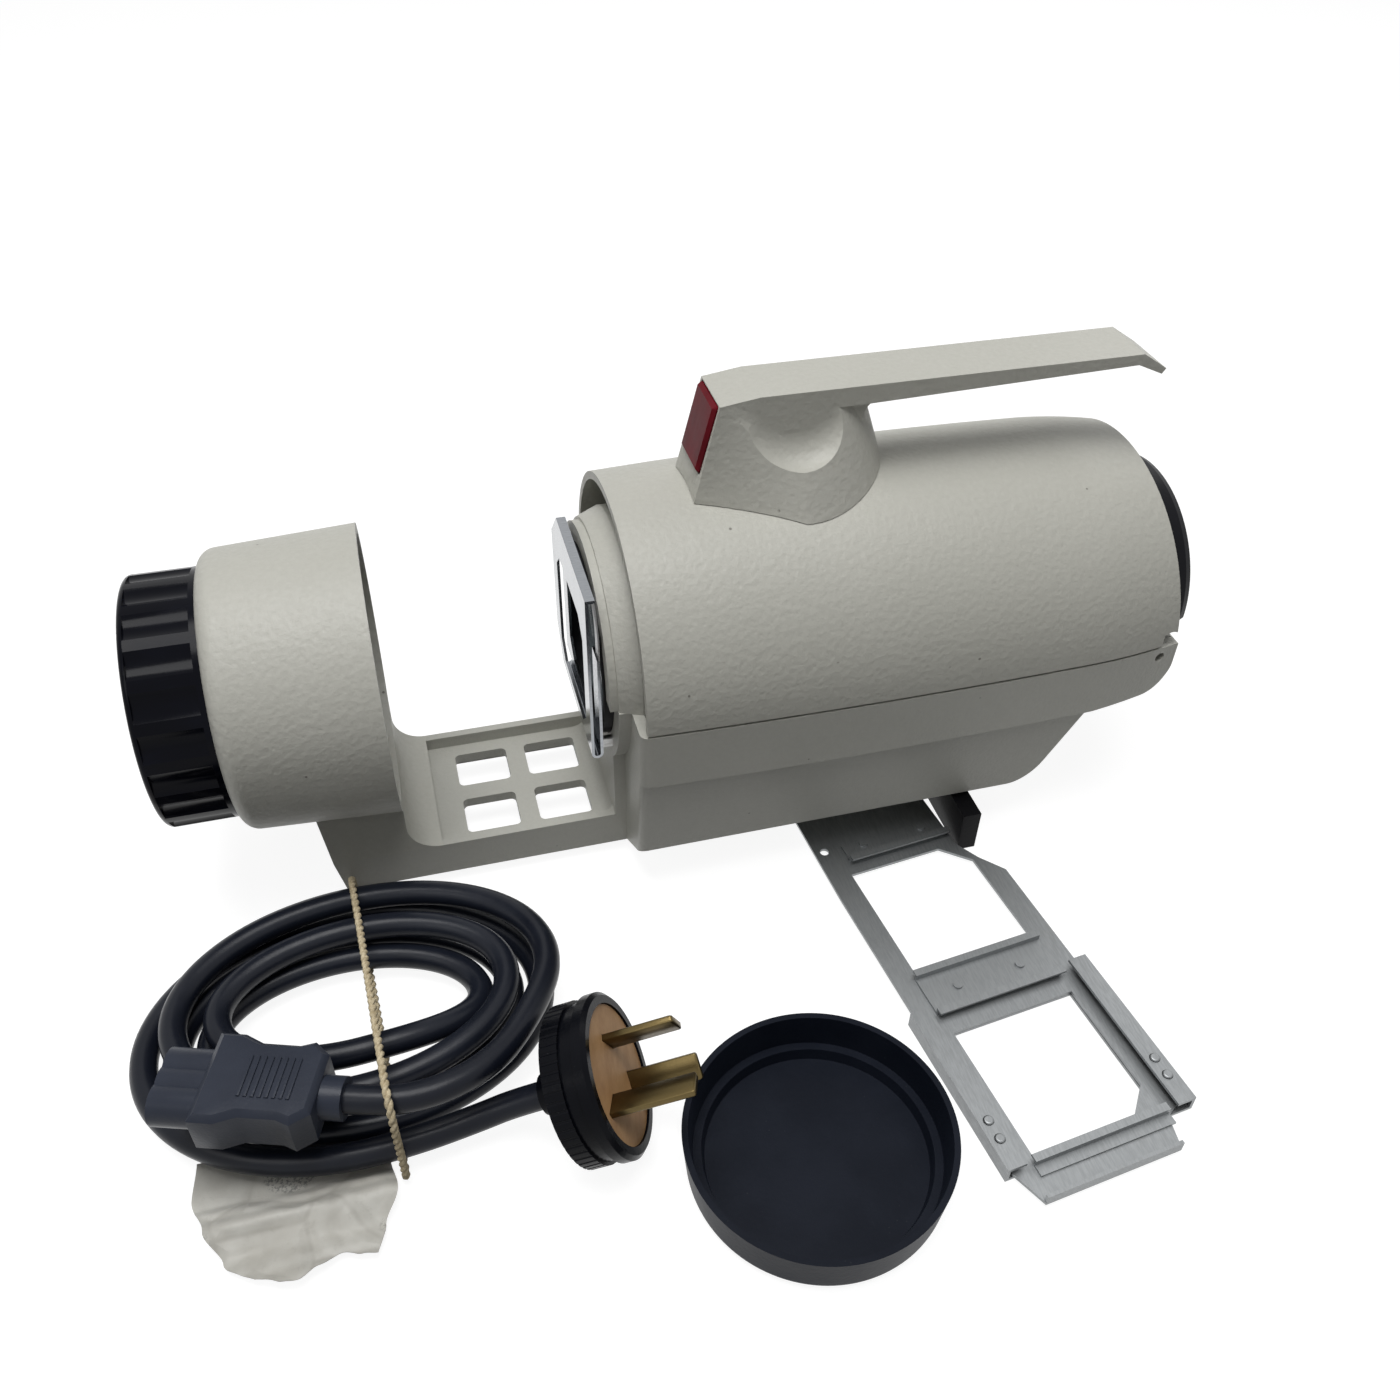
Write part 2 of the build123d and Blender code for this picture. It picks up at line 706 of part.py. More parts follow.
def make_rail():
    rail = side_prism(
        [
            (RAIL_FRONT_X, RAIL_BOTTOM_Z),
            (RAIL_FRONT_X - RAIL_FRONT_RAKE, RAIL_TOP_Z),
            (HULL_FRONT_X + 1, RAIL_TOP_Z),
            (HULL_FRONT_X + 1, RAIL_BOTTOM_Z),
        ],
        RAIL_HALF_WIDTH,
    )
    tray_front = COLLAR_REAR_X + TRAY_FILLET / 3
    tray_rear = HULL_FRONT_X - CRADLE_LENGTH
    tray = block(
        (tray_front, tray_rear), mirrored(RAIL_HALF_WIDTH - TRAY_RIM), (TRAY_FLOOR_Z, RAIL_TOP_Z + 1)
    )
    rail -= fillet(tray.edges().filter_by(Axis.Z), TRAY_RIM)
    under = block(
        (RAIL_FRONT_X + CASTING_WALL, HULL_FRONT_X - CASTING_WALL),
        mirrored(RAIL_HALF_WIDTH - CASTING_WALL),
        (RAIL_BOTTOM_Z - 1, TRAY_FLOOR_Z - TRAY_PLATE),
    )
    rail -= under
    for y in mirrored(PAD_Y):
        rail += post((RAIL_BOTTOM_Z, TRAY_FLOOR_Z - TRAY_PLATE), PAD_RADIUS, PAD_X, y)
    window = RectangleRounded(HOLE_LENGTH, HOLE_WIDTH, HOLE_CORNER)
    for side_x in (-1, 1):
        for side_y in (-1, 1):
            centre_x = HOLE_CENTRE_X + side_x * (HOLE_LENGTH + HOLE_BAR_X) / 2
            centre_y = side_y * (HOLE_WIDTH + HOLE_BAR_Y) / 2
            rail -= extrude(Pos(centre_x, centre_y, 0) * window, RAIL_TOP_Z)
    for y in mirrored(MOUNT_SCREW_Y):
        rail -= post((0, RAIL_TOP_Z + 1), SCREW_RADIUS + HOLE_CLEARANCE, MOUNT_SCREW_X, y)
    return rail


def make_base_casting():
    body = hull_prism(0) + band_prism(0, 0)
    cavity = hull_prism(CASTING_WALL)
    trough_top = block(
        (HULL_FRONT_X + CASTING_WALL, HULL_REAR_TOP_X - CASTING_WALL),
        mirrored(CREASE_HALF_WIDTH - CASTING_WALL - 1),
        (CREASE_Z - CASTING_WALL, CREASE_Z + CASTING_WALL + 1),
    )
    body = body - cavity - band_prism(CASTING_WALL, CASTING_WALL) - trough_top
    body += cradle()
    body += make_rail()
    body += front_web()
    barrel_room = BARREL_RADIUS + SLIDE_CLEARANCE
    body -= rod((HULL_FRONT_X - CRADLE_LENGTH - 1, HULL_FRONT_X + CASTING_WALL + 1), barrel_room)
    body += rear_bulkhead()
    for y, z in cowl_screw_spots():
        body -= rod((COWL_FLANGE_X, BAND_REAR_X), COWL_SCREW_RADIUS + HOLE_CLEARANCE, y, z)
    body -= cross_rod(mirrored(FAR), DRIFT_HOLE_RADIUS, DRIFT_HOLE_X, DRIFT_HOLE_Z)
    body += deck_ledges()
    body = panel_pad(body)
    body -= hinge_pockets()
    body -= foot_screw_holes()
    keep("base_casting", body)


def cradle():
    """Half round seat under the condenser, in front of the hull's front wall."""
    seat = rod((HULL_FRONT_X - CRADLE_LENGTH, HULL_FRONT_X + 1), CRADLE_RADIUS)
    return seat & block((-FAR, FAR), mirrored(FAR), (0, SEAM_LOW))


def front_web():
    """Solid neck that joins the tray's end to the cradle."""
    top = AXIS_HEIGHT - CRADLE_RADIUS / 2
    neck = block(
        (HULL_FRONT_X - CRADLE_LENGTH, HULL_FRONT_X + 1), mirrored(RAIL_HALF_WIDTH), (RAIL_BOTTOM_Z, top)
    )
    corner = block(
        (HULL_FRONT_X - CRADLE_LENGTH - TRAY_FILLET / 2, HULL_FRONT_X - CRADLE_LENGTH),
        mirrored(RAIL_HALF_WIDTH),
        (TRAY_FLOOR_Z, TRAY_FLOOR_Z + TRAY_FILLET / 2),
    ) - cross_rod(
        mirrored(FAR),
        TRAY_FILLET / 2,
        HULL_FRONT_X - CRADLE_LENGTH - TRAY_FILLET / 2,
        TRAY_FLOOR_Z + TRAY_FILLET / 2,
    )
    return neck + corner


def rear_bulkhead():
    """Wall across the band that the fan cowl and the motor bracket are screwed to."""
    front = COWL_FLANGE_X + COWL_FLANGE_THICKNESS
    half = HINGE_LUG_OUTER_Y - 4 * HINGE_LUG_THICKNESS
    return block((front, front + CASTING_WALL), mirrored(half), (CREASE_Z + 1, SEAM_LOW))


def deck_ledges():
    """Ribs along both walls that carry the lamp deck."""
    ribs = []
    for side in (-1, 1):
        span = sorted((side * (deck_half_width() - DECK_LEDGE), side * (deck_half_width() + DECK_LEDGE)))
        ribs.append(
            block((HULL_FRONT_X + 1, DECK_REAR_X), span, (DECK_Z - DECK_LEDGE, DECK_Z)) & hull_prism(1)
        )
    return ribs


def deck_half_width():
    share = (DECK_Z - CHINE_Z) / (CREASE_Z - CHINE_Z)
    wall_y = CHINE_HALF_WIDTH + share * (CREASE_HALF_WIDTH - CHINE_HALF_WIDTH)
    return wall_y - CASTING_WALL - SLIDE_CLEARANCE


def panel_pad(body):
    """Flat pad on the far wall with the inlet's and the switch's cut-outs."""
    pad = block(PANEL_X_SPAN, (deck_half_width() + SLIDE_CLEARANCE, PANEL_Y), PANEL_Z_SPAN)
    body = body + pad
    for x, width, height in (
        (INLET_X, INLET_WIDTH, INLET_HEIGHT),
        (SWITCH_X, SWITCH_WIDTH, SWITCH_HEIGHT),
    ):
        half_x = width / 2 + HOLE_CLEARANCE
        half_z = height / 2 + HOLE_CLEARANCE
        body -= block(
            (x - half_x, x + half_x),
            (CHINE_HALF_WIDTH - CASTING_WALL * 2, PANEL_Y + 1),
            (INLET_Z - half_z, INLET_Z + half_z),
        )
    return body


def hinge_pockets():
    """Room for the hinge knuckles beside the cowl, cut in the band's rear end."""
    reach = HINGE_KNUCKLE_RADIUS + SLIDE_CLEARANCE
    inner = HINGE_LUG_OUTER_Y - 2 * HINGE_LUG_THICKNESS - 3 * SLIDE_CLEARANCE
    pockets = []
    for side in (-1, 1):
        span = sorted((side * inner, side * (HINGE_LUG_OUTER_Y + HOLE_CLEARANCE)))
        pockets.append(cross_rod(span, reach, HINGE_X, AXIS_HEIGHT))
        pockets.append(block((HINGE_X - reach, HINGE_X + reach), span, (AXIS_HEIGHT - reach, SEAM_HIGH)))
    return pockets


def foot_screw_holes():
    return [
        post((0, RAIL_BOTTOM_Z + CASTING_WALL + 1), SCREW_RADIUS + HOLE_CLEARANCE, 0, y)
        for y in mirrored(FOOT_SCREW_Y)
    ]


# Lamp cover, hinge, handle and catch

def cover_shell():
    outer_first, outer_second = body_curve(0)
    inner_first, inner_second = body_curve(COVER_WALL)
    front_outer = (BODY_FRONT_X, BODY_FRONT_RADIUS)
    front_inner = (BODY_FRONT_X, BODY_FRONT_RADIUS - COVER_WALL)
    rear_outer = (BODY_REAR_X, BODY_REAR_RADIUS)
    rear_inner = (BODY_REAR_X, BODY_REAR_RADIUS - COVER_WALL)
    outline = make_face(
        Wire(
            [
                outer_first.edge(),
                outer_second.edge(),
                Line(rear_outer, rear_inner).edge(),
                inner_second.edge(),
                inner_first.edge(),
                Line(front_inner, front_outer).edge(),
            ]
        )
    )
    placed = Plane(origin=(0, 0, AXIS_HEIGHT), x_dir=(1, 0, 0), z_dir=(0, 0, -1)) * outline
    shell = revolve(placed, Axis((0, 0, AXIS_HEIGHT), (-1, 0, 0)), 180)
    shell -= block((-FAR, FAR), mirrored(FAR), (0, SEAM_HIGH))
    raked = Pos(BODY_REAR_X, 0, AXIS_HEIGHT) * Rot(0, -math.degrees(cover_rake()), 0)
    return shell - raked * block((0, FAR), mirrored(FAR), (-FAR, FAR))


def cover_rake():
    return math.atan2(COVER_REAR_RAKE, BODY_REAR_RADIUS)


def cover_lug(side):
    """Hinge lug that reaches down from the cover's wall to the pin."""
    outer = HINGE_LUG_OUTER_Y - HINGE_LUG_THICKNESS - SLIDE_CLEARANCE
    span = sorted((side * (outer - HINGE_LUG_THICKNESS), side * outer))
    eye = cross_rod(span, HINGE_KNUCKLE_RADIUS, HINGE_X, AXIS_HEIGHT)
    arm_top = AXIS_HEIGHT + HINGE_KNUCKLE_RADIUS * 7
    arm = block(
        (HINGE_X - HINGE_KNUCKLE_RADIUS * 3, HINGE_X),
        sorted((side * (outer - HINGE_LUG_THICKNESS), side * (outer + COVER_WALL))),
        (arm_top - HINGE_KNUCKLE_RADIUS * 3, arm_top),
    )
    web = block((HINGE_X - HINGE_KNUCKLE_RADIUS * 2.4, HINGE_X), span, (AXIS_HEIGHT + SEAM_GAP, arm_top))
    inside = turned(
        (BODY_SHOULDER_X - HINGE_KNUCKLE_RADIUS * 4, 0),
        (BODY_SHOULDER_X - HINGE_KNUCKLE_RADIUS * 4, BODY_SHOULDER_RADIUS - COVER_WALL / 2),
        (BODY_SHOULDER_X, BODY_SHOULDER_RADIUS - COVER_WALL / 2),
        (BODY_REAR_X, BODY_REAR_RADIUS - COVER_WALL / 2),
        (BODY_REAR_X, 0),
    )
    lug = eye + ((arm + web) & inside)
    bore = cross_rod(mirrored(FAR), HINGE_PIN_RADIUS + RUN_CLEARANCE, HINGE_X, AXIS_HEIGHT)
    return lug - bore


def make_lamp_cover():
    body = cover_shell()
    heel = cross_rod(mirrored(FAR), COVER_HEEL_RADIUS, HINGE_X, AXIS_HEIGHT)
    body -= heel & block((HINGE_X - COVER_HEEL_RADIUS / 2, FAR), mirrored(FAR), (0, FAR))
    for side in (-1, 1):
        body += cover_lug(side)
    slot_reach = BUTTON_TRAVEL + CATCH_THICKNESS + 2 * SLIDE_CLEARANCE
    body -= block(
        (CATCH_X - SLIDE_CLEARANCE - CATCH_TOE, CATCH_X + slot_reach),
        mirrored(CATCH_WIDTH / 2 + SLIDE_CLEARANCE),
        (CATCH_HOOK_Z, FAR / 2),
    )
    for x in HANDLE_SCREW_XS:
        body -= post((AXIS_HEIGHT + HOOD_REAR_RADIUS, FAR / 2), SCREW_RADIUS + HOLE_CLEARANCE, x, 0)
    keep("lamp_cover", body)


def make_hinge():
    outer = HINGE_LUG_OUTER_Y
    plates = []
    pins = []
    for side in (-1, 1):
        span = sorted((side * (outer - HINGE_LUG_THICKNESS), side * outer))
        eye = cross_rod(span, HINGE_KNUCKLE_RADIUS, HINGE_X, AXIS_HEIGHT)
        foot = block(
            (HINGE_X - HINGE_KNUCKLE_RADIUS, HINGE_X + SLIDE_CLEARANCE),
            span,
            (CREASE_Z + CASTING_WALL * 2, AXIS_HEIGHT),
        )
        leg = eye + foot
        leg -= cross_rod(mirrored(FAR), HINGE_PIN_RADIUS + HOLE_CLEARANCE / 2, HINGE_X, AXIS_HEIGHT)
        plates.append(leg - PARTS["base_casting"])
        inner = outer - 2 * HINGE_LUG_THICKNESS - 2 * SLIDE_CLEARANCE
        pins.append(cross_rod(sorted((side * inner, side * outer)), HINGE_PIN_RADIUS, HINGE_X, AXIS_HEIGHT))
    keep("hinge_brackets", plates)
    keep("hinge_pins", pins)


def nose_plane():
    """Plane on the handle's nose, at the button's middle, looking outwards."""
    along = (NOSE_TOP[0] - NOSE_FOOT[0], NOSE_TOP[1] - NOSE_FOOT[1])
    length = math.hypot(*along)
    share = BUTTON_MID_FRACTION
    origin = (NOSE_FOOT[0] + share * along[0], 0, NOSE_FOOT[1] + share * along[1])
    normal = (-along[1] / length, 0, along[0] / length)
    return Plane(origin=origin, x_dir=(0, 1, 0), z_dir=normal)


def skirt_outline(front_x, front_half, wide_x, wide_half, end_x):
    """Teardrop in plan: flat nose, spreading sides and a round tail."""
    shoulder = (wide_x + (end_x - wide_x) * 0.62, wide_half * 0.76)
    half = [
        Line((front_x, front_half), (wide_x, wide_half)).edge(),
        ThreePointArc((wide_x, wide_half), shoulder, (end_x, 0)).edge(),
    ]
    other = [edge.mirror(Plane.XZ) for edge in reversed(half)]
    nose = Line((front_x, -front_half), (front_x, front_half)).edge()
    return make_face(Wire([nose] + half + other))


def make_handle():
    low_z = AXIS_HEIGHT + BODY_FRONT_RADIUS - SKIRT_HALF_WIDTH / 2
    nose_slope = (NOSE_TOP[0] - NOSE_FOOT[0]) / (NOSE_TOP[1] - NOSE_FOOT[1])
    low_x = NOSE_FOOT[0] - (NOSE_FOOT[1] - low_z) * nose_slope
    spread = 1.16
    base = Pos(0, 0, low_z) * skirt_outline(
        low_x,
        SKIRT_NOSE_HALF_WIDTH,
        SKIRT_WIDEST_X,
        SKIRT_HALF_WIDTH * spread,
        SKIRT_END_X + GRIP_FRONT_THICKNESS / 2,
    )
    top = Pos(0, 0, NOSE_TOP[1]) * skirt_outline(
        NOSE_TOP[0], HANDLE_HALF_WIDTH, SKIRT_WIDEST_X, HANDLE_HALF_WIDTH, GRIP_ROOT_X
    )
    pedestal = Solid.make_loft([base.face().outer_wire(), top.face().outer_wire()], True)
    body = pedestal
    for side in (-1, 1):
        scoop = cross_rod(
            sorted((side * HANDLE_HALF_WIDTH, side * FAR / 4)), SCOOP_RADIUS, SCOOP_X, SCOOP_Z
        )
        inner_edge = scoop.edges().filter_by(GeomType.CIRCLE).sort_by_distance((SCOOP_X, 0, SCOOP_Z))[0]
        body -= fillet(inner_edge, SCOOP_ROUND)
    facet_x = NOSE_TOP[0] + FACET_LENGTH
    root_z = HANDLE_TOP_Z - GRIP_FRONT_THICKNESS
    tip = (GRIP_END_X + GRIP_LIP_LENGTH, HANDLE_TOP_Z - GRIP_LIP_DROP)
    grip = side_prism(
        [
            (NOSE_TOP[0] + (root_z - NOSE_TOP[1]) / 4, root_z),
            NOSE_TOP,
            (facet_x, HANDLE_TOP_Z),
            (GRIP_END_X, HANDLE_TOP_Z),
            tip,
            (tip[0] - 1, tip[1] - GRIP_REAR_THICKNESS / 2),
            (GRIP_END_X - 1, HANDLE_TOP_Z - GRIP_REAR_THICKNESS),
            (GRIP_ROOT_X - 2, root_z),
        ],
        HANDLE_HALF_WIDTH,
    )
    body = body + grip
    body += grip_root_fillet(root_z)
    body -= turned_cover_clearance()
    body -= handle_hollow()
    keep("handle", body)


def grip_root_fillet(root_z):
    """Curve between the pedestal's back and the grip's underside."""
    radius = GRIP_FRONT_THICKNESS
    corner_x = GRIP_ROOT_X + radius * 0.9
    fill = block(
        (GRIP_ROOT_X - radius, corner_x), mirrored(HANDLE_HALF_WIDTH * 0.72), (root_z - radius, root_z + 1)
    )
    return fill - cross_rod(mirrored(FAR), radius, corner_x, root_z - radius)


def turned_cover_clearance():
    """The cover's outer form, grown by the seat gap, to trim the handle's foot."""
    first, second = body_curve(-SEAT_GAP)
    front = BODY_FRONT_RADIUS + SEAT_GAP
    rear = BODY_REAR_RADIUS + SEAT_GAP
    outline = make_face(
        Wire(
            [
                Line((BODY_FRONT_X, 0), (BODY_FRONT_X, front)).edge(),
                first.edge(),
                second.edge(),
                Line((BODY_REAR_X, rear), (BODY_REAR_X, 0)).edge(),
                Line((BODY_REAR_X, 0), (BODY_FRONT_X, 0)).edge(),
            ]
        )
    )
    placed = Plane(origin=(0, 0, AXIS_HEIGHT), x_dir=(1, 0, 0), z_dir=(0, 0, -1)) * outline
    return revolve(placed, OPTICAL_AXIS, 360)


def handle_hollow():
    """Button pocket, catch shaft and screw holes inside the pedestal."""
    plane = nose_plane()
    inner_depth = BUTTON_DEPTH - BUTTON_PROUD + BUTTON_TRAVEL + SLIDE_CLEARANCE
    pocket = extrude(
        plane
        * RectangleRounded(
            BUTTON_WIDTH + 2 * SLIDE_CLEARANCE, BUTTON_HEIGHT + 2 * SLIDE_CLEARANCE, BUTTON_BEVEL
        ),
        -inner_depth,
    )
    pocket += extrude(
        plane
        * RectangleRounded(
            BUTTON_WIDTH + 2 * SLIDE_CLEARANCE, BUTTON_HEIGHT + 2 * SLIDE_CLEARANCE, BUTTON_BEVEL
        ),
        BUTTON_PROUD * 2,
    )
    shaft_back = CATCH_X + CATCH_THICKNESS + BUTTON_TRAVEL + SLIDE_CLEARANCE
    shaft = block(
        (CATCH_X - SLIDE_CLEARANCE, shaft_back),
        mirrored(CATCH_WIDTH / 2 + SLIDE_CLEARANCE),
        (AXIS_HEIGHT, plane.origin.Z + CATCH_WIDTH / 2),
    )
    tunnel = block(
        (plane.origin.X, shaft_back),
        mirrored(CATCH_WIDTH / 2 + SLIDE_CLEARANCE),
        (plane.origin.Z - CATCH_WIDTH / 2, plane.origin.Z + CATCH_WIDTH / 2),
    )
    holes = [
        post((AXIS_HEIGHT, HANDLE_SCREW_TOP), SCREW_RADIUS + HOLE_CLEARANCE, x, 0) for x in HANDLE_SCREW_XS
    ]
    return [pocket, shaft, tunnel] + holes


def make_button():
    plane = nose_plane()
    body = extrude(plane * RectangleRounded(BUTTON_WIDTH, BUTTON_HEIGHT, BUTTON_BEVEL), BUTTON_PROUD)
    body = chamfer(front_edges(body, plane), BUTTON_BEVEL)
    body += extrude(
        plane * RectangleRounded(BUTTON_WIDTH, BUTTON_HEIGHT, BUTTON_BEVEL), -(BUTTON_DEPTH - BUTTON_PROUD)
    )
    keep("release_button", body)
    arm_z = plane.origin.Z
    arm_half = CATCH_THICKNESS
    back = plane.origin.X + BUTTON_DEPTH - BUTTON_PROUD
    blade = block(
        (CATCH_X, CATCH_X + CATCH_THICKNESS),
        mirrored(CATCH_WIDTH / 2),
        (CATCH_HOOK_Z, arm_z + arm_half),
    )
    arm = block((back, CATCH_X), mirrored(CATCH_WIDTH / 2), (arm_z - arm_half, arm_z + arm_half))
    arm -= extrude(plane * Rectangle(FAR / 8, FAR / 8), -(BUTTON_DEPTH - BUTTON_PROUD))
    toe = block(
        (CATCH_X - CATCH_TOE, CATCH_X),
        mirrored(CATCH_WIDTH / 2),
        (CATCH_HOOK_Z, CATCH_HOOK_Z + CATCH_THICKNESS),
    )
    keep("cover_catch", blade + arm + toe)


def front_edges(body, plane):
    """Edges of the face that looks along the plane's normal."""
    face = body.faces().sort_by(Axis(plane.origin, plane.z_dir))[-1]
    return face.edges()


def make_catch_keeper():
    ledge_z = CATCH_HOOK_Z + CATCH_THICKNESS + SLIDE_CLEARANCE
    rear = CATCH_X - CATCH_TOE + KEEPER_OVERLAP
    ledge_span = (ledge_z, ledge_z + KEEPER_THICKNESS)
    ledge = block((rear - KEEPER_LENGTH, rear), mirrored(CATCH_WIDTH), ledge_span)
    upright = block(
        (rear - KEEPER_LENGTH, rear - KEEPER_LENGTH + KEEPER_THICKNESS),
        mirrored(CATCH_WIDTH),
        (AXIS_HEIGHT + HOOD_REAR_RADIUS - HOOD_WALL, ledge_z + KEEPER_THICKNESS),
    )
    keep("catch_keeper", (ledge + upright) - rod((-FAR / 2, FAR / 2), HOOD_REAR_RADIUS))


# Gate

def aperture_prism():
    window = Rectangle(APERTURE, APERTURE)
    window = chamfer(window.vertices(), APERTURE_CORNER)
    plane = Plane(origin=(GATE_X - GATE_SLOT * 3, 0, AXIS_HEIGHT), x_dir=(0, 1, 0), z_dir=(1, 0, 0))
    return extrude(plane * window, GATE_SLOT * 8)


def make_gate():
    outline = make_face(
        Polyline(
            (-GATE_HALF_WIDTH, GATE_BOTTOM_Z),
            (GATE_HALF_WIDTH - GATE_CORNER * 0.7, GATE_BOTTOM_Z),
            (GATE_HALF_WIDTH, GATE_BOTTOM_Z + GATE_CORNER),
            (GATE_HALF_WIDTH, GATE_TOP_Z - GATE_CORNER),
            (GATE_HALF_WIDTH - GATE_CORNER, GATE_TOP_Z),
            (-GATE_HALF_WIDTH, GATE_TOP_Z),
            close=True,
        )
    )
    front_x = GATE_X - GATE_SHEET / 2
    plane = Plane(origin=(front_x, 0, 0), x_dir=(0, 1, 0), z_dir=(1, 0, 0))
    front = extrude(plane * outline, GATE_SHEET)
    flange = block(
        (front_x, front_x + GATE_FLANGE),
        (-GATE_HALF_WIDTH, GATE_HALF_WIDTH - GATE_CORNER),
        (GATE_TOP_Z - GATE_SHEET, GATE_TOP_Z),
    )
    back_x = front_x + GATE_SHEET + GATE_SLOT
    back_span = (-GATE_HALF_WIDTH, GATE_HALF_WIDTH - GATE_CORNER * 0.7)
    back_slab = (back_x, back_x + GATE_SHEET)
    back = block(back_slab, mirrored(GATE_HALF_WIDTH), (GATE_BOTTOM_Z, GATE_NEAR_TOP_Z))
    back += block(back_slab, (0, GATE_HALF_WIDTH), (GATE_BOTTOM_Z, GATE_BACK_TOP_Z))
    bend_radius = GATE_SHEET + GATE_SLOT / 2
    bend_x = front_x + bend_radius
    bend = cross_rod(back_span, bend_radius, bend_x, GATE_BOTTOM_Z)
    bend -= cross_rod(mirrored(FAR), GATE_SLOT / 2, bend_x, GATE_BOTTOM_Z)
    bend &= block((-FAR, FAR), mirrored(FAR), (0, GATE_BOTTOM_Z))
    keep("slide_gate", front + flange + back + bend - aperture_prism())
    post_front = back_x + GATE_SHEET
    posts = []
    rise = GATE_POST_OFFSET * GATE_POST_SHARE
    for y in mirrored(GATE_POST_OFFSET):
        posts.append(
                rod((post_front, HULL_FRONT_X - CRADLE_LENGTH), GATE_POST_RADIUS, y, AXIS_HEIGHT - rise)
            )
    posts.append(rod((post_front, HOOD_FRONT_X), GATE_POST_RADIUS, GATE_POST_OFFSET, AXIS_HEIGHT + rise))
    keep("gate_posts", posts)
    keep("gate_spring", gate_spring((-GATE_HALF_WIDTH, GATE_SPRING_WIDTH - GATE_HALF_WIDTH), back_x))


def gate_spring(y_span, back_x):
    """Bowed strip from the near back strip's end up to the top flange."""
    low = (back_x + GATE_SHEET, GATE_NEAR_TOP_Z)
    high = (back_x, GATE_TOP_Z - GATE_SHEET)
    middle = (low[0] - GATE_SPRING_SLACK, (low[1] + high[1]) / 2)
    sheet = GATE_SPRING_SHEET
    outer = ThreePointArc(low, middle, high)
    inner = ThreePointArc(*[(x - sheet, y) for x, y in (high, middle, low)])
    edges = [
        outer.edge(),
        Line(high, (high[0] - sheet, high[1])).edge(),
        inner.edge(),
        Line((low[0] - sheet, low[1]), low).edge(),
    ]
    plane = Plane(origin=(0, y_span[1], 0), x_dir=(1, 0, 0), z_dir=(0, -1, 0))
    return extrude(plane * make_face(Wire(edges)), y_span[1] - y_span[0])


# Condenser and lamp

def barrel_front_x():
    return GATE_X - GATE_SHEET / 2 + 2 * GATE_SHEET + GATE_SLOT + SEAT_GAP


def make_condenser():
    cone_rear = HOOD_FRONT_X + HOOD_STEP + HOOD_CONE_LENGTH
    room = BARREL_RADIUS + SLIDE_CLEARANCE
    hood = turned(
        (HOOD_FRONT_X, room),
        (HOOD_FRONT_X, HOOD_RADIUS),
        (HOOD_FRONT_X + HOOD_STEP, HOOD_RADIUS),
        (HOOD_FRONT_X + HOOD_STEP, HOOD_SECOND_RADIUS),
        (cone_rear, HOOD_REAR_RADIUS),
        (HOOD_REAR_X, HOOD_REAR_RADIUS),
        (HOOD_REAR_X, HOOD_REAR_RADIUS - HOOD_WALL),
        (cone_rear, HOOD_REAR_RADIUS - HOOD_WALL),
        (cone_rear, room),
    )
    hood -= block((-FAR, FAR), mirrored(FAR), (0, SEAM_LOW))
    keep("condenser_hood", hood)
    front = barrel_front_x()
    rear = front + BARREL_LENGTH
    inner = BARREL_RADIUS - BARREL_WALL
    barrel = rod((front, rear), BARREL_RADIUS) - rod((front - 1, rear + 1), inner)
    keep("condenser_barrel", barrel)
    glass_radius = inner - HOLE_CLEARANCE
    first_x = front + CONDENSER_GAP
    second_x = first_x + CONDENSER_THICKNESS + CONDENSER_GAP / 2
    sag = CONDENSER_THICKNESS * 0.7
    keep("front_condenser", lens_disc(first_x, CONDENSER_THICKNESS, glass_radius, sag, False))
    keep("rear_condenser", lens_disc(second_x, CONDENSER_THICKNESS, glass_radius, sag, True))
    heat_x = second_x + CONDENSER_THICKNESS + CONDENSER_GAP
    keep("heat_glass", rod((heat_x, heat_x + HEAT_GLASS_THICKNESS), glass_radius))


def make_lamp():
    deck_top = DECK_Z + DECK_SHEET
    keep(
        "lamp_socket",
        post((deck_top, deck_top + SOCKET_HEIGHT), SOCKET_RADIUS, LAMP_X, 0)
        - post(
            (deck_top + SOCKET_FLOOR, deck_top + SOCKET_HEIGHT + 1),
            LAMP_CAP_RADIUS + HOLE_CLEARANCE,
            LAMP_X,
            0,
        ),
    )
    cap_bottom = deck_top + SOCKET_FLOOR + HOLE_CLEARANCE
    cap_top = cap_bottom + LAMP_CAP_HEIGHT
    cap = post((cap_bottom, cap_top), LAMP_CAP_RADIUS, LAMP_X, 0)
    keep("lamp_bulb", bulb_envelope(cap_top))
    post_half = FILAMENT_WIDTH / 2
    legs = [
        post((cap_top, AXIS_HEIGHT + FILAMENT_WIRE), FILAMENT_WIRE, LAMP_X, y) for y in mirrored(post_half)
    ]
    coil = cross_rod(mirrored(post_half), FILAMENT_WIRE * 2, LAMP_X, AXIS_HEIGHT)
    keep("lamp_cap", cap + coil + legs)


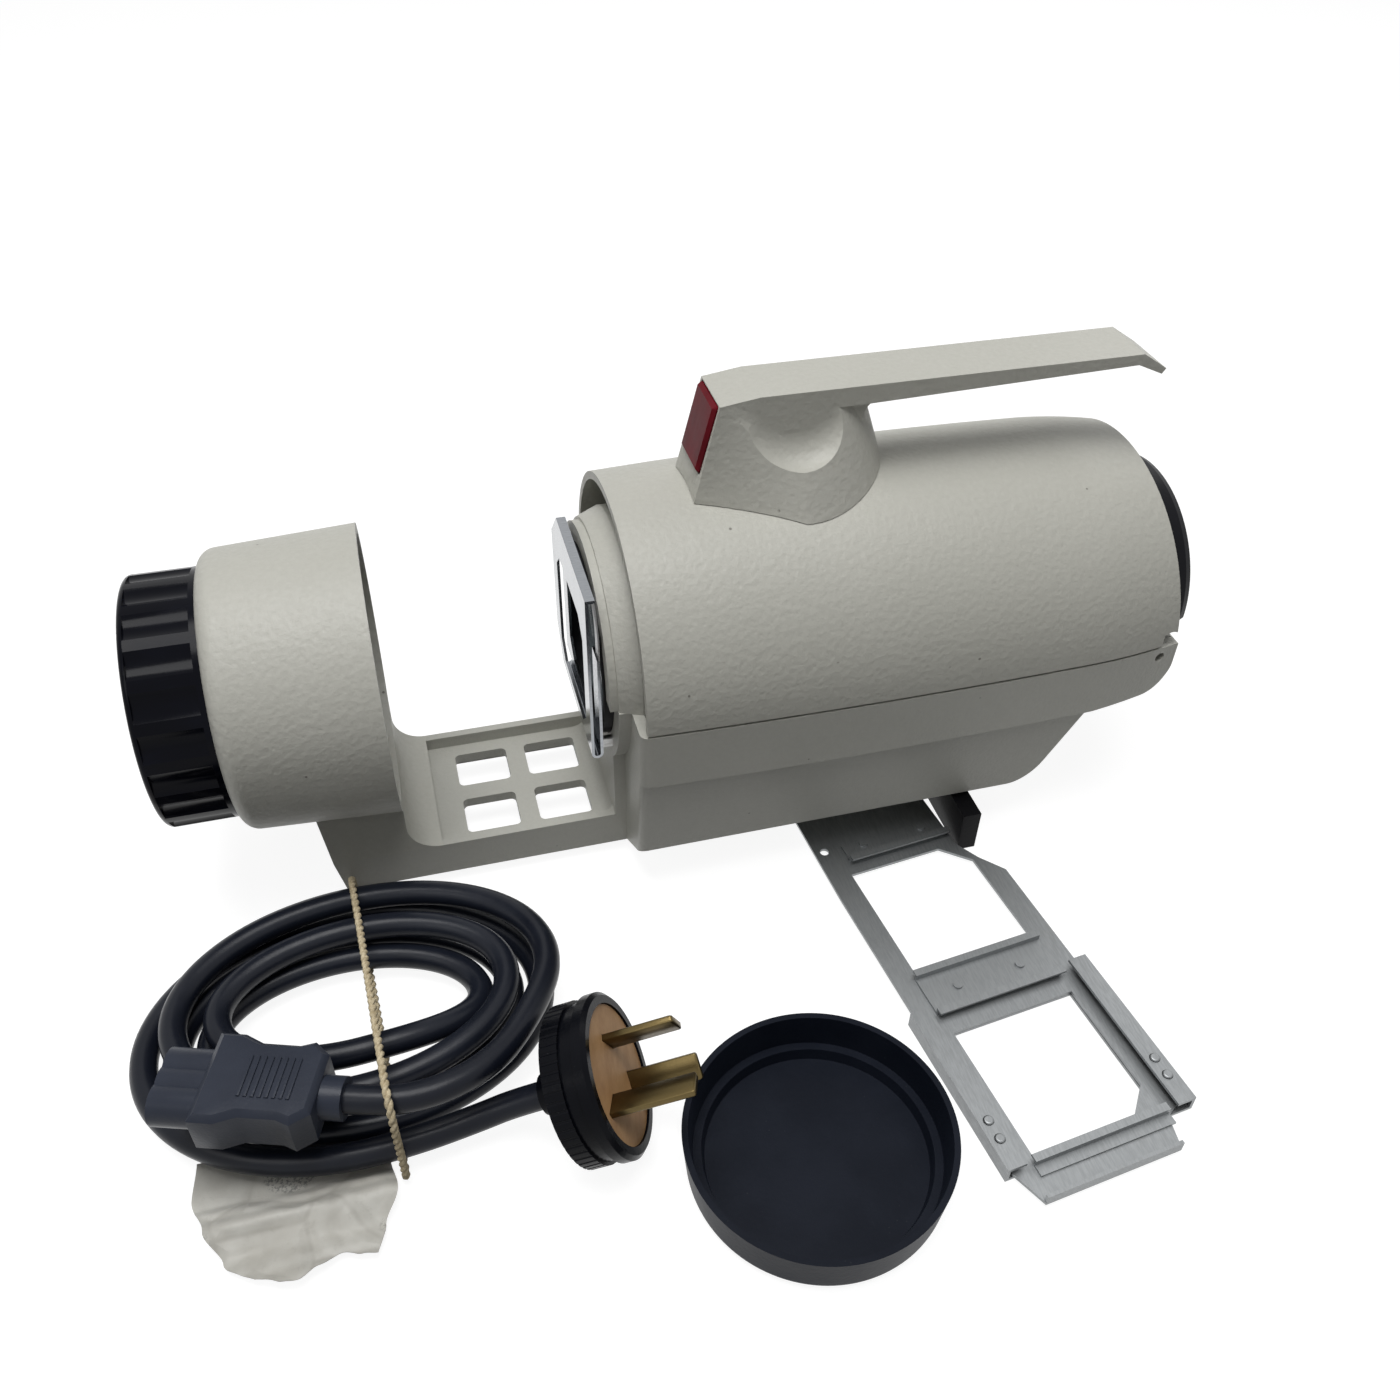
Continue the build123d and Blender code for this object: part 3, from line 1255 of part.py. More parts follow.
def bulb_envelope(bottom_z):
    """Tubular glass envelope, open below, with a domed top."""
    neck = LAMP_CAP_RADIUS * 0.9

    def outline(radius, neck_radius, top_z):
        shoulder = bottom_z + LAMP_RADIUS * 0.7
        dome = top_z - radius
        return make_face(
            Wire(
                [
                    Line((0, bottom_z), (neck_radius, bottom_z)).edge(),
                    Line((neck_radius, bottom_z), (radius, shoulder)).edge(),
                    Line((radius, shoulder), (radius, dome)).edge(),
                    ThreePointArc(
                        (radius, dome),
                        (radius * math.cos(math.pi / 4), dome + radius * math.sin(math.pi / 4)),
                        (0, top_z),
                    ).edge(),
                    Line((0, top_z), (0, bottom_z)).edge(),
                ]
            )
        )

    axis = Axis((LAMP_X, 0, 0), (0, 0, 1))
    outer = revolve(Pos(LAMP_X, 0, 0) * Plane.XZ * outline(LAMP_RADIUS, neck, LAMP_TOP_Z), axis, 360)
    inner = revolve(
        Pos(LAMP_X, 0, 0)
        * Plane.XZ
        * outline(LAMP_RADIUS - LAMP_GLASS, neck - LAMP_GLASS, LAMP_TOP_Z - LAMP_GLASS),
        axis,
        360,
    )
    return outer - inner


def make_reflector():
    outer = REFLECTOR_RADIUS + REFLECTOR_SHEET
    reach = math.sqrt(REFLECTOR_RADIUS**2 - REFLECTOR_RIM_RADIUS**2)
    angle = math.acos(reach / REFLECTOR_RADIUS)

    def arc(radius, first, second):
        spots = []
        for turn in (first, (first + second) / 2, second):
            spots.append((LAMP_X + radius * math.cos(turn), AXIS_HEIGHT + radius * math.sin(turn)))
        return ThreePointArc(*spots)

    hole = angle / 8
    inner_arc = arc(REFLECTOR_RADIUS, hole, angle)
    outer_arc = arc(outer, angle, hole)
    edges = [
        inner_arc.edge(),
        Line(inner_arc @ 1, outer_arc @ 0).edge(),
        outer_arc.edge(),
        Line(outer_arc @ 1, inner_arc @ 0).edge(),
    ]
    keep("reflector", revolve(Plane.XZ * make_face(Wire(edges)), OPTICAL_AXIS, 360))
    back = LAMP_X + outer * math.cos(hole)
    deck_top = DECK_Z + DECK_SHEET
    half = LAMP_RADIUS / 2
    stem = block((back, back + REFLECTOR_SHEET), mirrored(half), (deck_top, AXIS_HEIGHT + half))
    foot = block((back, BAFFLE_X - SLIDE_CLEARANCE), mirrored(half), (deck_top, deck_top + REFLECTOR_SHEET))
    keep("reflector_bracket", stem + foot)


def make_deck():
    deck_top = DECK_Z + DECK_SHEET
    front_x = HULL_FRONT_X + CASTING_WALL + SLIDE_CLEARANCE
    sheet = block((front_x, DECK_REAR_X), mirrored(deck_half_width()), (DECK_Z, deck_top))
    slot_half = LAMP_RADIUS
    for side in (-1, 1):
        for index in range(BAFFLE_SLOT_COUNT):
            x = LAMP_X - LAMP_RADIUS + index * LAMP_RADIUS / 2
            near = SOCKET_RADIUS + LAMP_GLASS * 4
            span = sorted((side * near, side * (near + slot_half)))
            sheet -= block((x, x + LAMP_RADIUS / 4), span, (0, AXIS_HEIGHT))
    for x, width in ((INLET_X, INLET_WIDTH), (SWITCH_X, SWITCH_WIDTH)):
        half = width / 2 + 2 * SLIDE_CLEARANCE
        front = PANEL_Y + INLET_RIM_THICKNESS - INLET_DEPTH - SLIDE_CLEARANCE
        sheet -= block((x - half, x + half), (front, FAR), (0, AXIS_HEIGHT))
    keep("lamp_deck", sheet)
    deck_top = DECK_Z + DECK_SHEET
    plate = rod((BAFFLE_X, BAFFLE_X + BAFFLE_SHEET), BAFFLE_RADIUS)
    plate &= block((-FAR, FAR), mirrored(FAR), (deck_top, FAR))
    foot_span = (deck_top, deck_top + BAFFLE_SHEET)
    half_foot = block((BAFFLE_X, BAFFLE_X + LAMP_RADIUS), mirrored(LAMP_RADIUS), foot_span)
    plate += half_foot
    pitch = LAMP_RADIUS * 0.75
    for index in range(BAFFLE_SLOT_COUNT):
        z = AXIS_HEIGHT + (index - (BAFFLE_SLOT_COUNT - 1) / 2) * pitch
        slit_x = (BAFFLE_X - 1, BAFFLE_X + BAFFLE_SHEET + 0.01)
        plate -= block(slit_x, mirrored(MOTOR_RADIUS), (z, z + pitch / 3))
    inlet_back = PANEL_Y + INLET_RIM_THICKNESS - INLET_DEPTH - SLIDE_CLEARANCE
    inlet_top = INLET_Z + INLET_HEIGHT / 2 + SLIDE_CLEARANCE
    plate -= block((BAFFLE_X - 1, BAFFLE_X + 2), (inlet_back, FAR), (0, inlet_top))
    keep("heat_baffle", plate)


# Fan

def cowl_turning(inset, rear_x):
    """Turned form of the cowl's drum, whole, to be cut at the seam."""
    rim_x = COWL_REAR_X - COWL_WALL
    rim = COWL_REAR_RADIUS + SEAT_GAP - inset
    neck = COWL_NECK_RADIUS - inset
    end = [(rim_x, rim)]
    if rear_x > rim_x:
        end.append((rear_x, rim - COWL_WALL / 2))
    return turned(
        (COWL_FLANGE_X, 0),
        (COWL_FLANGE_X, neck),
        (COWL_FLANGE_X + COWL_FLANGE_THICKNESS, neck),
        *end,
        (end[-1][0], 0),
    )


def make_cowl():
    upper = block((-FAR, FAR), mirrored(FAR), (SEAM_LOW, FAR))
    flange = rod((COWL_FLANGE_X, COWL_FLANGE_X + COWL_FLANGE_THICKNESS), COWL_FLANGE_RADIUS)
    body = (cowl_turning(0, COWL_REAR_X) + flange) & upper
    body -= cowl_turning(COWL_WALL, 0) & block((-FAR, FAR), mirrored(FAR), (SEAM_LOW + COWL_WALL, FAR))
    body -= rod((COWL_FLANGE_X - 1, COWL_FLANGE_X + 1), COWL_NECK_RADIUS - COWL_WALL) & block(
        (-FAR, FAR), mirrored(FAR), (SEAM_LOW + COWL_WALL, FAR)
    )
    body += block(
        (COWL_FLANGE_X, COWL_FLANGE_X + COWL_FLANGE_THICKNESS),
        mirrored(COWL_TAB_HALF_WIDTH),
        (COWL_TAB_Z, SEAM_HIGH),
    )
    slot_outer = COWL_REAR_RADIUS - COWL_WALL * 2
    for index in range(GRILLE_SLOT_COUNT):
        angle = 180 * (index + 0.5) / GRILLE_SLOT_COUNT - 90
        slot = block(
            (COWL_REAR_X - COWL_WALL - 1, COWL_REAR_X + 1),
            mirrored(GRILLE_SLOT_WIDTH / 2),
            (GRILLE_HUB_RADIUS, slot_outer),
        )
        body -= Pos(0, 0, AXIS_HEIGHT + COWL_WALL) * Rot(angle, 0, 0) * slot
    inner = HINGE_LUG_OUTER_Y - 2 * HINGE_LUG_THICKNESS - 2 * SLIDE_CLEARANCE - HINGE_LUG_THICKNESS / 3
    for side in (-1, 1):
        span = sorted((side * inner, side * FAR))
        body -= block((COWL_FLANGE_X - 1, BAND_REAR_X), span, (0, AXIS_HEIGHT + HINGE_KNUCKLE_RADIUS * 8))
    for y, z in cowl_screw_spots():
        body -= rod((COWL_FLANGE_X - 1, BAND_REAR_X), COWL_SCREW_RADIUS + HOLE_CLEARANCE, y, z)
    keep("fan_cowl", body)


def make_motor():
    front = COWL_FLANGE_X - BRACKET_SHEET
    bracket = rod((front, COWL_FLANGE_X), BRACKET_DISC_RADIUS)
    bracket &= block((front, COWL_FLANGE_X), mirrored(FAR), (COWL_TAB_Z, FAR))
    bracket += block((front, COWL_FLANGE_X), mirrored(COWL_TAB_HALF_WIDTH), (COWL_TAB_Z, AXIS_HEIGHT))
    for y, z in cowl_screw_spots():
        bracket -= rod((front - 1, COWL_FLANGE_X + 1), COWL_SCREW_RADIUS + HOLE_CLEARANCE, y, z)
    keep("motor_bracket", bracket)
    motor = rod((front - MOTOR_LENGTH, front), MOTOR_RADIUS)
    motor = fillet(motor.edges().filter_by(GeomType.CIRCLE).group_by(Axis.X)[0], MOTOR_RADIUS / 5)
    bore = SHAFT_RADIUS + RUN_CLEARANCE
    motor -= rod((front - MOTOR_LENGTH - 1, front - MOTOR_LENGTH / 2), bore)
    keep("fan_motor", motor)


def make_fan():
    shaft_rear = COWL_FLANGE_X - BRACKET_SHEET - MOTOR_LENGTH / 2 - SLIDE_CLEARANCE
    hub_rear = FAN_FRONT_X + FAN_LENGTH
    wheel = rod((FAN_FRONT_X, hub_rear), FAN_HUB_RADIUS)
    wheel += rod((hub_rear - 1, shaft_rear), SHAFT_RADIUS)
    middle = (FAN_FRONT_X + hub_rear) / 2
    chord = FAN_LENGTH
    for index in range(FAN_BLADE_COUNT):
        blade = Pos(0, 0, (FAN_HUB_RADIUS + FAN_RADIUS) / 2 - 0.5) * Rot(0, 0, FAN_BLADE_PITCH) * Box(
            chord, FAN_BLADE_SHEET, FAN_RADIUS - FAN_HUB_RADIUS + 1
        )
        turn = Pos(middle, 0, AXIS_HEIGHT) * Rot(360 * index / FAN_BLADE_COUNT, 0, 0)
        wheel += turn * blade
    keep("fan_wheel", wheel)


def cowl_screw_spots():
    return [(y, COWL_SCREW_Z) for y in mirrored(COWL_SCREW_Y)]


def make_cowl_screws():
    front = COWL_FLANGE_X - BRACKET_SHEET
    rear = COWL_FLANGE_X + COWL_FLANGE_THICKNESS + CASTING_WALL
    screws = []
    for y, z in cowl_screw_spots():
        head = rod((front - COWL_SCREW_HEAD, front), COWL_SCREW_HEAD_RADIUS, y, z)
        shank = rod((front - COWL_SCREW_HEAD / 2, rear), COWL_SCREW_RADIUS, y, z)
        screws.append(head + shank)
    keep("cowl_screws", screws)


# Feet and fasteners

def make_feet():
    slope = (CHINE_Z - RAIL_BOTTOM_Z) / (CHINE_HALF_WIDTH - RAIL_HALF_WIDTH)
    wing_y = RAIL_HALF_WIDTH + (FOOT_WING_Z - RAIL_BOTTOM_Z) / slope
    half = [
        (FOOT_HALF_WIDTH, 0),
        (FOOT_HALF_WIDTH, FOOT_WING_Z),
        (wing_y, FOOT_WING_Z),
        (RAIL_HALF_WIDTH, RAIL_BOTTOM_Z),
    ]
    corners = half + [(-y, z) for y, z in reversed(half)]
    plane = Plane(origin=(-FOOT_HALF_THICKNESS, 0, 0), x_dir=(0, 1, 0), z_dir=(1, 0, 0))
    foot = extrude(plane * make_face(Polyline(*corners, close=True)), 2 * FOOT_HALF_THICKNESS)
    foot -= foot_screw_holes()
    for y in mirrored(FOOT_SCREW_Y):
        foot -= post((-1, SCREW_HEAD_HEIGHT + 0.6), SCREW_HEAD_RADIUS - HOLE_CLEARANCE, 0, y)
    keep("rear_foot", foot)
    screws = []
    for y in mirrored(FOOT_SCREW_Y):
        head = post((0.5, SCREW_HEAD_HEIGHT + 0.6), SCREW_HEAD_RADIUS - 2 * HOLE_CLEARANCE, 0, y)
        screws.append(head + post((1, RAIL_BOTTOM_Z + CASTING_WALL), SCREW_RADIUS, 0, y))
    keep("foot_screws", screws)
    keep("front_pads", [post((0, RAIL_BOTTOM_Z), PAD_RADIUS, PAD_X, y) for y in mirrored(PAD_Y)])
    plate_bottom = TRAY_FLOOR_Z - TRAY_PLATE
    keep(
        "mount_screws",
        [
            post((plate_bottom - SCREW_HEAD_HEIGHT, plate_bottom), SCREW_HEAD_RADIUS, MOUNT_SCREW_X, y)
            + post((plate_bottom - 1, MOUNT_SCREW_TOP - HOLE_CLEARANCE), SCREW_RADIUS, MOUNT_SCREW_X, y)
            for y in mirrored(MOUNT_SCREW_Y)
        ],
    )
    roof = AXIS_HEIGHT + BODY_MID_RADIUS - COVER_WALL - SEAT_GAP * 4
    keep(
        "handle_screws",
        [
            post((roof - SCREW_HEAD_HEIGHT, roof), SCREW_HEAD_RADIUS, x, 0)
            + post((roof - 1, HANDLE_SCREW_TOP - HOLE_CLEARANCE), SCREW_RADIUS, x, 0)
            for x in HANDLE_SCREW_XS
        ],
    )


# Mains inlet and switch

def make_inlet():
    front = PANEL_Y + INLET_RIM_THICKNESS
    half_x = INLET_WIDTH / 2
    half_z = INLET_HEIGHT / 2
    x_span = (INLET_X - half_x, INLET_X + half_x)
    z_span = (INLET_Z - half_z, INLET_Z + half_z)
    body = block(x_span, (front - INLET_DEPTH, front), z_span)
    body += block(
        (x_span[0] - INLET_RIM, x_span[1] + INLET_RIM),
        (PANEL_Y, front),
        (z_span[0] - INLET_RIM, z_span[1] + INLET_RIM),
    )
    wall = INLET_WALL
    body -= block(
        (x_span[0] + wall, x_span[1] - wall),
        (front - INLET_DEPTH + wall, front + 1),
        (z_span[0] + wall, z_span[1] - wall),
    )
    keep("mains_inlet", body)
    pins = []
    for step in (-1, 0, 1):
        pins.append(
            cross_rod(
                (front - INLET_DEPTH + wall, front - wall * 2),
                INLET_PIN_RADIUS,
                INLET_X + step * INLET_PIN_PITCH,
                INLET_Z,
            )
        )
    keep("inlet_pins", pins)


def make_switch():
    front = PANEL_Y + INLET_RIM_THICKNESS
    half_x = SWITCH_WIDTH / 2
    half_z = SWITCH_HEIGHT / 2
    rim = INLET_RIM / 2
    body = block(
        (SWITCH_X - half_x, SWITCH_X + half_x),
        (front - SWITCH_DEPTH, front),
        (INLET_Z - half_z, INLET_Z + half_z),
    )
    body += block(
        (SWITCH_X - half_x - rim, SWITCH_X + half_x + rim),
        (PANEL_Y, front),
        (INLET_Z - half_z - rim, INLET_Z + half_z + rim),
    )
    well_x = half_x - INLET_WALL
    well_z = half_z - INLET_WALL
    body -= block(
        (SWITCH_X - well_x, SWITCH_X + well_x),
        (front - SWITCH_DEPTH + INLET_WALL, front + 1),
        (INLET_Z - well_z, INLET_Z + well_z),
    )
    body -= cross_pin(well_z + INLET_WALL / 2, ROCKER_PIVOT_RADIUS + RUN_CLEARANCE, rocker_pivot_y())
    keep("switch_body", body)
    rocker_x = well_x - SLIDE_CLEARANCE * 2
    rocker_z = well_z - SLIDE_CLEARANCE
    rocker = block(
        (SWITCH_X - rocker_x, SWITCH_X + rocker_x),
        (front - ROCKER_THICKNESS, front + ROCKER_THICKNESS / 4),
        (INLET_Z - rocker_z, INLET_Z + rocker_z),
    )
    dish = rocker_x * 3
    rocker -= post(
        (INLET_Z - FAR / 8, INLET_Z + FAR / 8), dish, SWITCH_X, front + ROCKER_THICKNESS / 4 + dish - 1.2
    )
    rocker += cross_pin(well_z + INLET_WALL / 2 - HOLE_CLEARANCE, ROCKER_PIVOT_RADIUS, rocker_pivot_y())
    keep("switch_rocker", rocker)


def rocker_pivot_y():
    return PANEL_Y + INLET_RIM_THICKNESS - ROCKER_THICKNESS / 2


def cross_pin(half_length, radius, y):
    return post((INLET_Z - half_length, INLET_Z + half_length), radius, SWITCH_X, y)


# Slide changer, drawn along its own length and then laid on the floor

CHANGER_PLACE = Pos(CHANGER_X, CHANGER_Y, 0) * Rot(0, 0, CHANGER_TURN)


def make_changer():
    frame_end = FRAME_START + FRAME_LENGTH
    sheet = CHANGER_SHEET
    base = block((FRAME_START, frame_end), mirrored(FRAME_HALF_WIDTH), (0, sheet))
    frame = base
    for side in (-1, 1):
        wall_span = sorted((side * FRAME_HALF_WIDTH, side * (FRAME_HALF_WIDTH - sheet)))
        lip_span = sorted((side * FRAME_HALF_WIDTH, side * (FRAME_HALF_WIDTH - CHANNEL_LIP)))
        frame += block((FRAME_START, frame_end), wall_span, (0, CHANNEL_HEIGHT))
        frame += block((FRAME_START, frame_end), lip_span, (CHANNEL_HEIGHT - sheet, CHANNEL_HEIGHT))
    window = Pos(FRAME_WINDOW_START + FRAME_WINDOW_LENGTH / 2, 0, 0) * Rectangle(
        FRAME_WINDOW_LENGTH, WINDOW_WIDTH
    )
    corners = window.vertices().group_by(Axis.X)[-1].sort_by(Axis.Y)[-1]
    window = chamfer(corners, WINDOW_CORNER)
    frame -= extrude(Pos(0, 0, -1) * window, sheet + 2)
    hole = CHANGER_RIVET_RADIUS + HOLE_CLEARANCE
    rivets = []
    springs = []
    for side in (-1, 1):
        v = side * (FRAME_HALF_WIDTH - CHANNEL_LIP / 2)
        springs.append(changer_spring(v))
        for u in CHANGER_RIVET_US:
            frame -= post((CHANNEL_HEIGHT - sheet - 1, CHANNEL_HEIGHT + 1), hole, u, v)
            rivets.append(changer_rivet(u, v))
    keep("changer_frame", CHANGER_PLACE * frame)
    keep("changer_rivets", [CHANGER_PLACE * rivet for rivet in rivets])
    keep("changer_springs", [CHANGER_PLACE * spring for spring in springs])
    make_carriage()


def changer_spring(v):
    """Flat spring under a channel lip that bears down towards the carriage."""
    top = CHANNEL_HEIGHT - CHANGER_SHEET
    low = CHANGER_SHEET * 2 + CHANGER_LIFT * 2
    length = FRAME_LENGTH - CHANNEL_HEIGHT
    start = FRAME_START + CHANNEL_HEIGHT / 2
    middle = start + length / 2.6
    sheet = CHANGER_SPRING_SHEET
    flat = 0.1
    high = top - flat
    flat_start = start + length / 1.35
    flat_end = start + length
    upper = ThreePointArc((start, high), (middle, low + sheet), (flat_start, high))
    lower = ThreePointArc((flat_start, high - sheet), (middle, low), (start, high - sheet))
    outline = make_face(
        Wire(
            [
                upper.edge(),
                Line((flat_start, high), (flat_end, high)).edge(),
                Line((flat_end, high), (flat_end, high - sheet)).edge(),
                Line((flat_end, high - sheet), (flat_start, high - sheet)).edge(),
                lower.edge(),
                Line((start, high - sheet), (start, high)).edge(),
            ]
        )
    )
    half = CHANGER_SPRING_WIDTH / 2
    strip = extrude(Plane(origin=(0, v + half, 0), x_dir=(1, 0, 0), z_dir=(0, -1, 0)) * outline, 2 * half)
    hole = CHANGER_RIVET_RADIUS * 0.7 + HOLE_CLEARANCE
    for u in CHANGER_RIVET_US:
        strip -= post((0, CHANNEL_HEIGHT), hole, u, v)
    return strip


def changer_rivet(u, v):
    top = CHANNEL_HEIGHT
    under = CHANNEL_HEIGHT - CHANGER_SHEET - CHANGER_SPRING_SHEET - 0.15
    head = post((top, top + CHANGER_RIVET_HEAD), CHANGER_RIVET_RADIUS, u, v)
    head = fillet(head.edges().group_by(Axis.Z)[-1], CHANGER_RIVET_HEAD * 0.8)
    shank = post((under, top + 0.1), CHANGER_RIVET_RADIUS * 0.7, u, v)
    return head + shank


def carriage_floor_z():
    return CHANGER_SHEET + CHANGER_LIFT


def make_carriage():
    low = carriage_floor_z()
    high = low + CHANGER_SHEET
    wide = CARRIAGE_HALF_WIDTH
    neck = CARRIAGE_NECK_HALF_WIDTH
    outline = make_face(
        Polyline(
            (CARRIAGE_START, -wide + 1),
            (CARRIAGE_NECK_END, -wide),
            (END_LIP_START, -wide),
            (CARRIAGE_END, -wide + CARRIAGE_NECK_SLOPE / 2),
            (CARRIAGE_END, neck),
            (END_LIP_START + 1, neck + CARRIAGE_NECK_SLOPE / 3),
            (END_LIP_START - 2, wide),
            (CARRIAGE_NECK_END + CARRIAGE_NECK_SLOPE, wide),
            (CARRIAGE_NECK_END, neck + CARRIAGE_NECK_SLOPE / 2),
            (CARRIAGE_NECK_END - CARRIAGE_NECK_SLOPE / 2, neck + CARRIAGE_NECK_SLOPE / 4),
            (CARRIAGE_NECK_END - CARRIAGE_NECK_SLOPE, neck),
            (CARRIAGE_START, neck),
            close=True,
        )
    )
    plate = extrude(Pos(0, 0, low) * outline, CHANGER_SHEET)
    for index in range(2):
        centre = index * WINDOW_PITCH - 1.3
        window = Pos(centre, 0, 0) * Rectangle(WINDOW_LENGTH, WINDOW_WIDTH)
        far_corners = window.vertices().sort_by(Axis.Y)[-2:].sort_by(Axis.X)
        window = chamfer(far_corners[0 if index == 0 else 1], WINDOW_CORNER)
        plate -= extrude(Pos(0, 0, low - 1) * window, CHANGER_SHEET + 2)
    plate -= post((0, CHANNEL_HEIGHT), CHANGER_RIVET_RADIUS, TOP_LIP_END - TOP_LIP_LENGTH, -wide + 3.6)
    grip = block(
        (CARRIAGE_END - CHANGER_SHEET, CARRIAGE_END),
        (-wide + CARRIAGE_NECK_SLOPE / 2, neck),
        (low, high + LIP_RISE),
    )
    keep("changer_carriage", CHANGER_PLACE * (plate + grip))
    rails = [
        holding_lip(TOP_LIP_END - TOP_LIP_LENGTH, TOP_LIP_LENGTH, TOP_LIP_HALF_LENGTH, (False, True)),
        holding_lip(MID_LIP_START, MID_LIP_LENGTH, LIP_HALF_LENGTH, (True, True)),
        holding_lip(END_LIP_START, END_LIP_LENGTH, LIP_HALF_LENGTH, (True, False)),
    ]
    keep("changer_rails", [CHANGER_PLACE * rail for rail in rails])
    head_span = (high + RAIL_SHEET, high + RAIL_SHEET + CHANGER_RIVET_HEAD)
    rivets = []
    for u in (TOP_LIP_END - TOP_LIP_LENGTH + 1.6, MID_LIP_START + MID_LIP_LENGTH / 2):
        for v in mirrored(LIP_HALF_LENGTH / 2):
            rivets.append(
                CHANGER_PLACE
                * post(head_span, CHANGER_RIVET_RADIUS, u, v)
            )
    keep("rail_rivets", rivets)


def holding_lip(start, length, half, ends):
    """Strip across the carriage whose raised edges hold a slide's border."""
    low = carriage_floor_z() + CHANGER_SHEET
    sheet = RAIL_SHEET
    strip = block((start, start + length), mirrored(half), (low, low + sheet))
    rise = low + LIP_RISE
    for at_start, present in zip((True, False), ends):
        if not present:
            continue
        edge = start if at_start else start + length
        way = -1 if at_start else 1
        wall = sorted((edge, edge - way * sheet))
        lip = sorted((edge, edge + way * LIP_DEPTH / 2))
        strip += block(wall, mirrored(half), (low, rise))
        strip += block(lip, mirrored(half), (rise - sheet, rise))
    return strip


# Lens cap

def make_lens_cap():
    outline = make_face(
        Polyline(
            (0, 0),
            (CAP_BASE_RADIUS, 0),
            (CAP_RADIUS, CAP_HEIGHT),
            (CAP_RADIUS - CAP_WALL, CAP_HEIGHT),
            (CAP_BASE_RADIUS - CAP_WALL, CAP_FLOOR + CAP_LEDGE_HEIGHT),
            (CAP_BASE_RADIUS - CAP_WALL - CAP_LEDGE, CAP_FLOOR + CAP_LEDGE_HEIGHT),
            (CAP_BASE_RADIUS - CAP_WALL - CAP_LEDGE * 1.4, CAP_FLOOR),
            (0, CAP_FLOOR),
            close=True,
        )
    )
    outline = fillet(outline.vertices().sort_by_distance((CAP_BASE_RADIUS, 0, 0))[0], CAP_BASE_ROUND)
    cap = Pos(CAP_X, CAP_Y, 0) * revolve(Plane.XZ * outline, Axis.Z, 360)
    keep("lens_cap", cap)


# Mains lead: the coil follows a formula, its two free ends follow chosen points

def coil_point(turn):
    """Centre line of the coil: it winds inwards, climbs one layer and winds out again."""
    climb = min(max((turn - COIL_RISE_START) / (COIL_RISE_END - COIL_RISE_START), 0.0), 1.0)
    level = climb * climb * (3 - 2 * climb)
    wound_out = max(turn - COIL_RISE_END, 0.0) / (COIL_TURNS - COIL_RISE_END)
    depth = COIL_PITCH * min(turn, COIL_RISE_END)
    depth -= (COIL_PITCH * COIL_RISE_END - COIL_END_DEPTH) * wound_out
    angle = math.tau * (COIL_START_TURN - turn)
    start_share = max(COIL_START_LIFT_TURNS - turn, 0.0) / COIL_START_LIFT_TURNS
    end_share = max(turn - COIL_TURNS + COIL_END_LIFT_TURNS, 0.0) / COIL_END_LIFT_TURNS
    lift = COIL_START_LIFT * start_share**2 + COIL_END_LIFT * end_share**2
    return Vector(
        COIL_X + COIL_SHIFT_X * level + (COIL_HALF_LENGTH - depth) * math.cos(angle),
        COIL_Y + COIL_SHIFT_Y * level + (COIL_HALF_WIDTH - depth) * math.sin(angle),
        COIL_LOWEST_Z + COIL_LAYER_RISE * level + lift,
    )


def coil_heading(turn):
    step = 0.002
    start = max(0.0, turn - step)
    end = min(COIL_TURNS, turn + step)
    return (coil_point(end) - coil_point(start)).normalized()


def biarc(start, start_way, end, end_way):
    """Two arcs that leave and arrive along the given ways and meet smoothly."""
    chord = end - start
    ways = start_way + end_way
    square = 2 * (1 - start_way.dot(end_way))
    along = chord.dot(ways)
    if abs(square) < 1e-9:
        reach = chord.dot(chord) / (4 * chord.dot(end_way))
    else:
        reach = (-along + math.sqrt(along * along + square * chord.dot(chord))) / square
    first = start + start_way * reach
    second = end - end_way * reach
    joint = (first + second) / 2
    return [
        Edge.make_tangent_arc(start, start_way, joint),
        Edge.make_tangent_arc(joint, second - first, end),
    ]


def coil_path():
    """One joined run of quarter turns, a little more in the last, with a short straight at each end."""
    quarters = int((COIL_TURNS - 0.25) * 4)
    stations = [index / 4 for index in range(quarters + 1)] + [COIL_TURNS]
    edges = [Edge.make_line(*coil_start_run())]
    for here, there in zip(stations, stations[1:]):
        edges += biarc(coil_point(here), coil_heading(here), coil_point(there), coil_heading(there))
    return edges + [Edge.make_line(*coil_end_run())]


def coil_start_run():
    point = coil_point(0)
    return point - coil_heading(0) * COIL_TAIL, point


def coil_end_run():
    point = coil_point(COIL_TURNS)
    return point, point + coil_heading(COIL_TURNS) * COIL_TAIL


def least_gap(edges):
    """Smallest clear distance between parts of the coil that aren't neighbours."""
    points = []
    travelled = 0.0
    for edge in edges:
        for index in range(COIL_SAMPLES):
            share = index / COIL_SAMPLES
            points.append((travelled + share * edge.length, edge.position_at(share)))
        travelled += edge.length
    least = FAR
    for index, (here, first) in enumerate(points):
        for there, second in points[index + 1:]:
            if there - here > COIL_HALF_WIDTH:
                least = min(least, (first - second).length)
    return least - 2 * CORD_RADIUS


def cord_along(path, name):
    """Tube of the cord's section along a path."""
    wire = path if isinstance(path, Wire) else path.wire()
    start = wire.position_at(0)
    way = wire.tangent_at(0)
    tube = sweep(Plane(origin=start, z_dir=way) * Circle(CORD_RADIUS), path=wire)
    expected = math.pi * CORD_RADIUS**2 * wire.length
    print(name, "length", round(wire.length, 1), "volume share", round(tube.volume / expected, 4))
    return tube


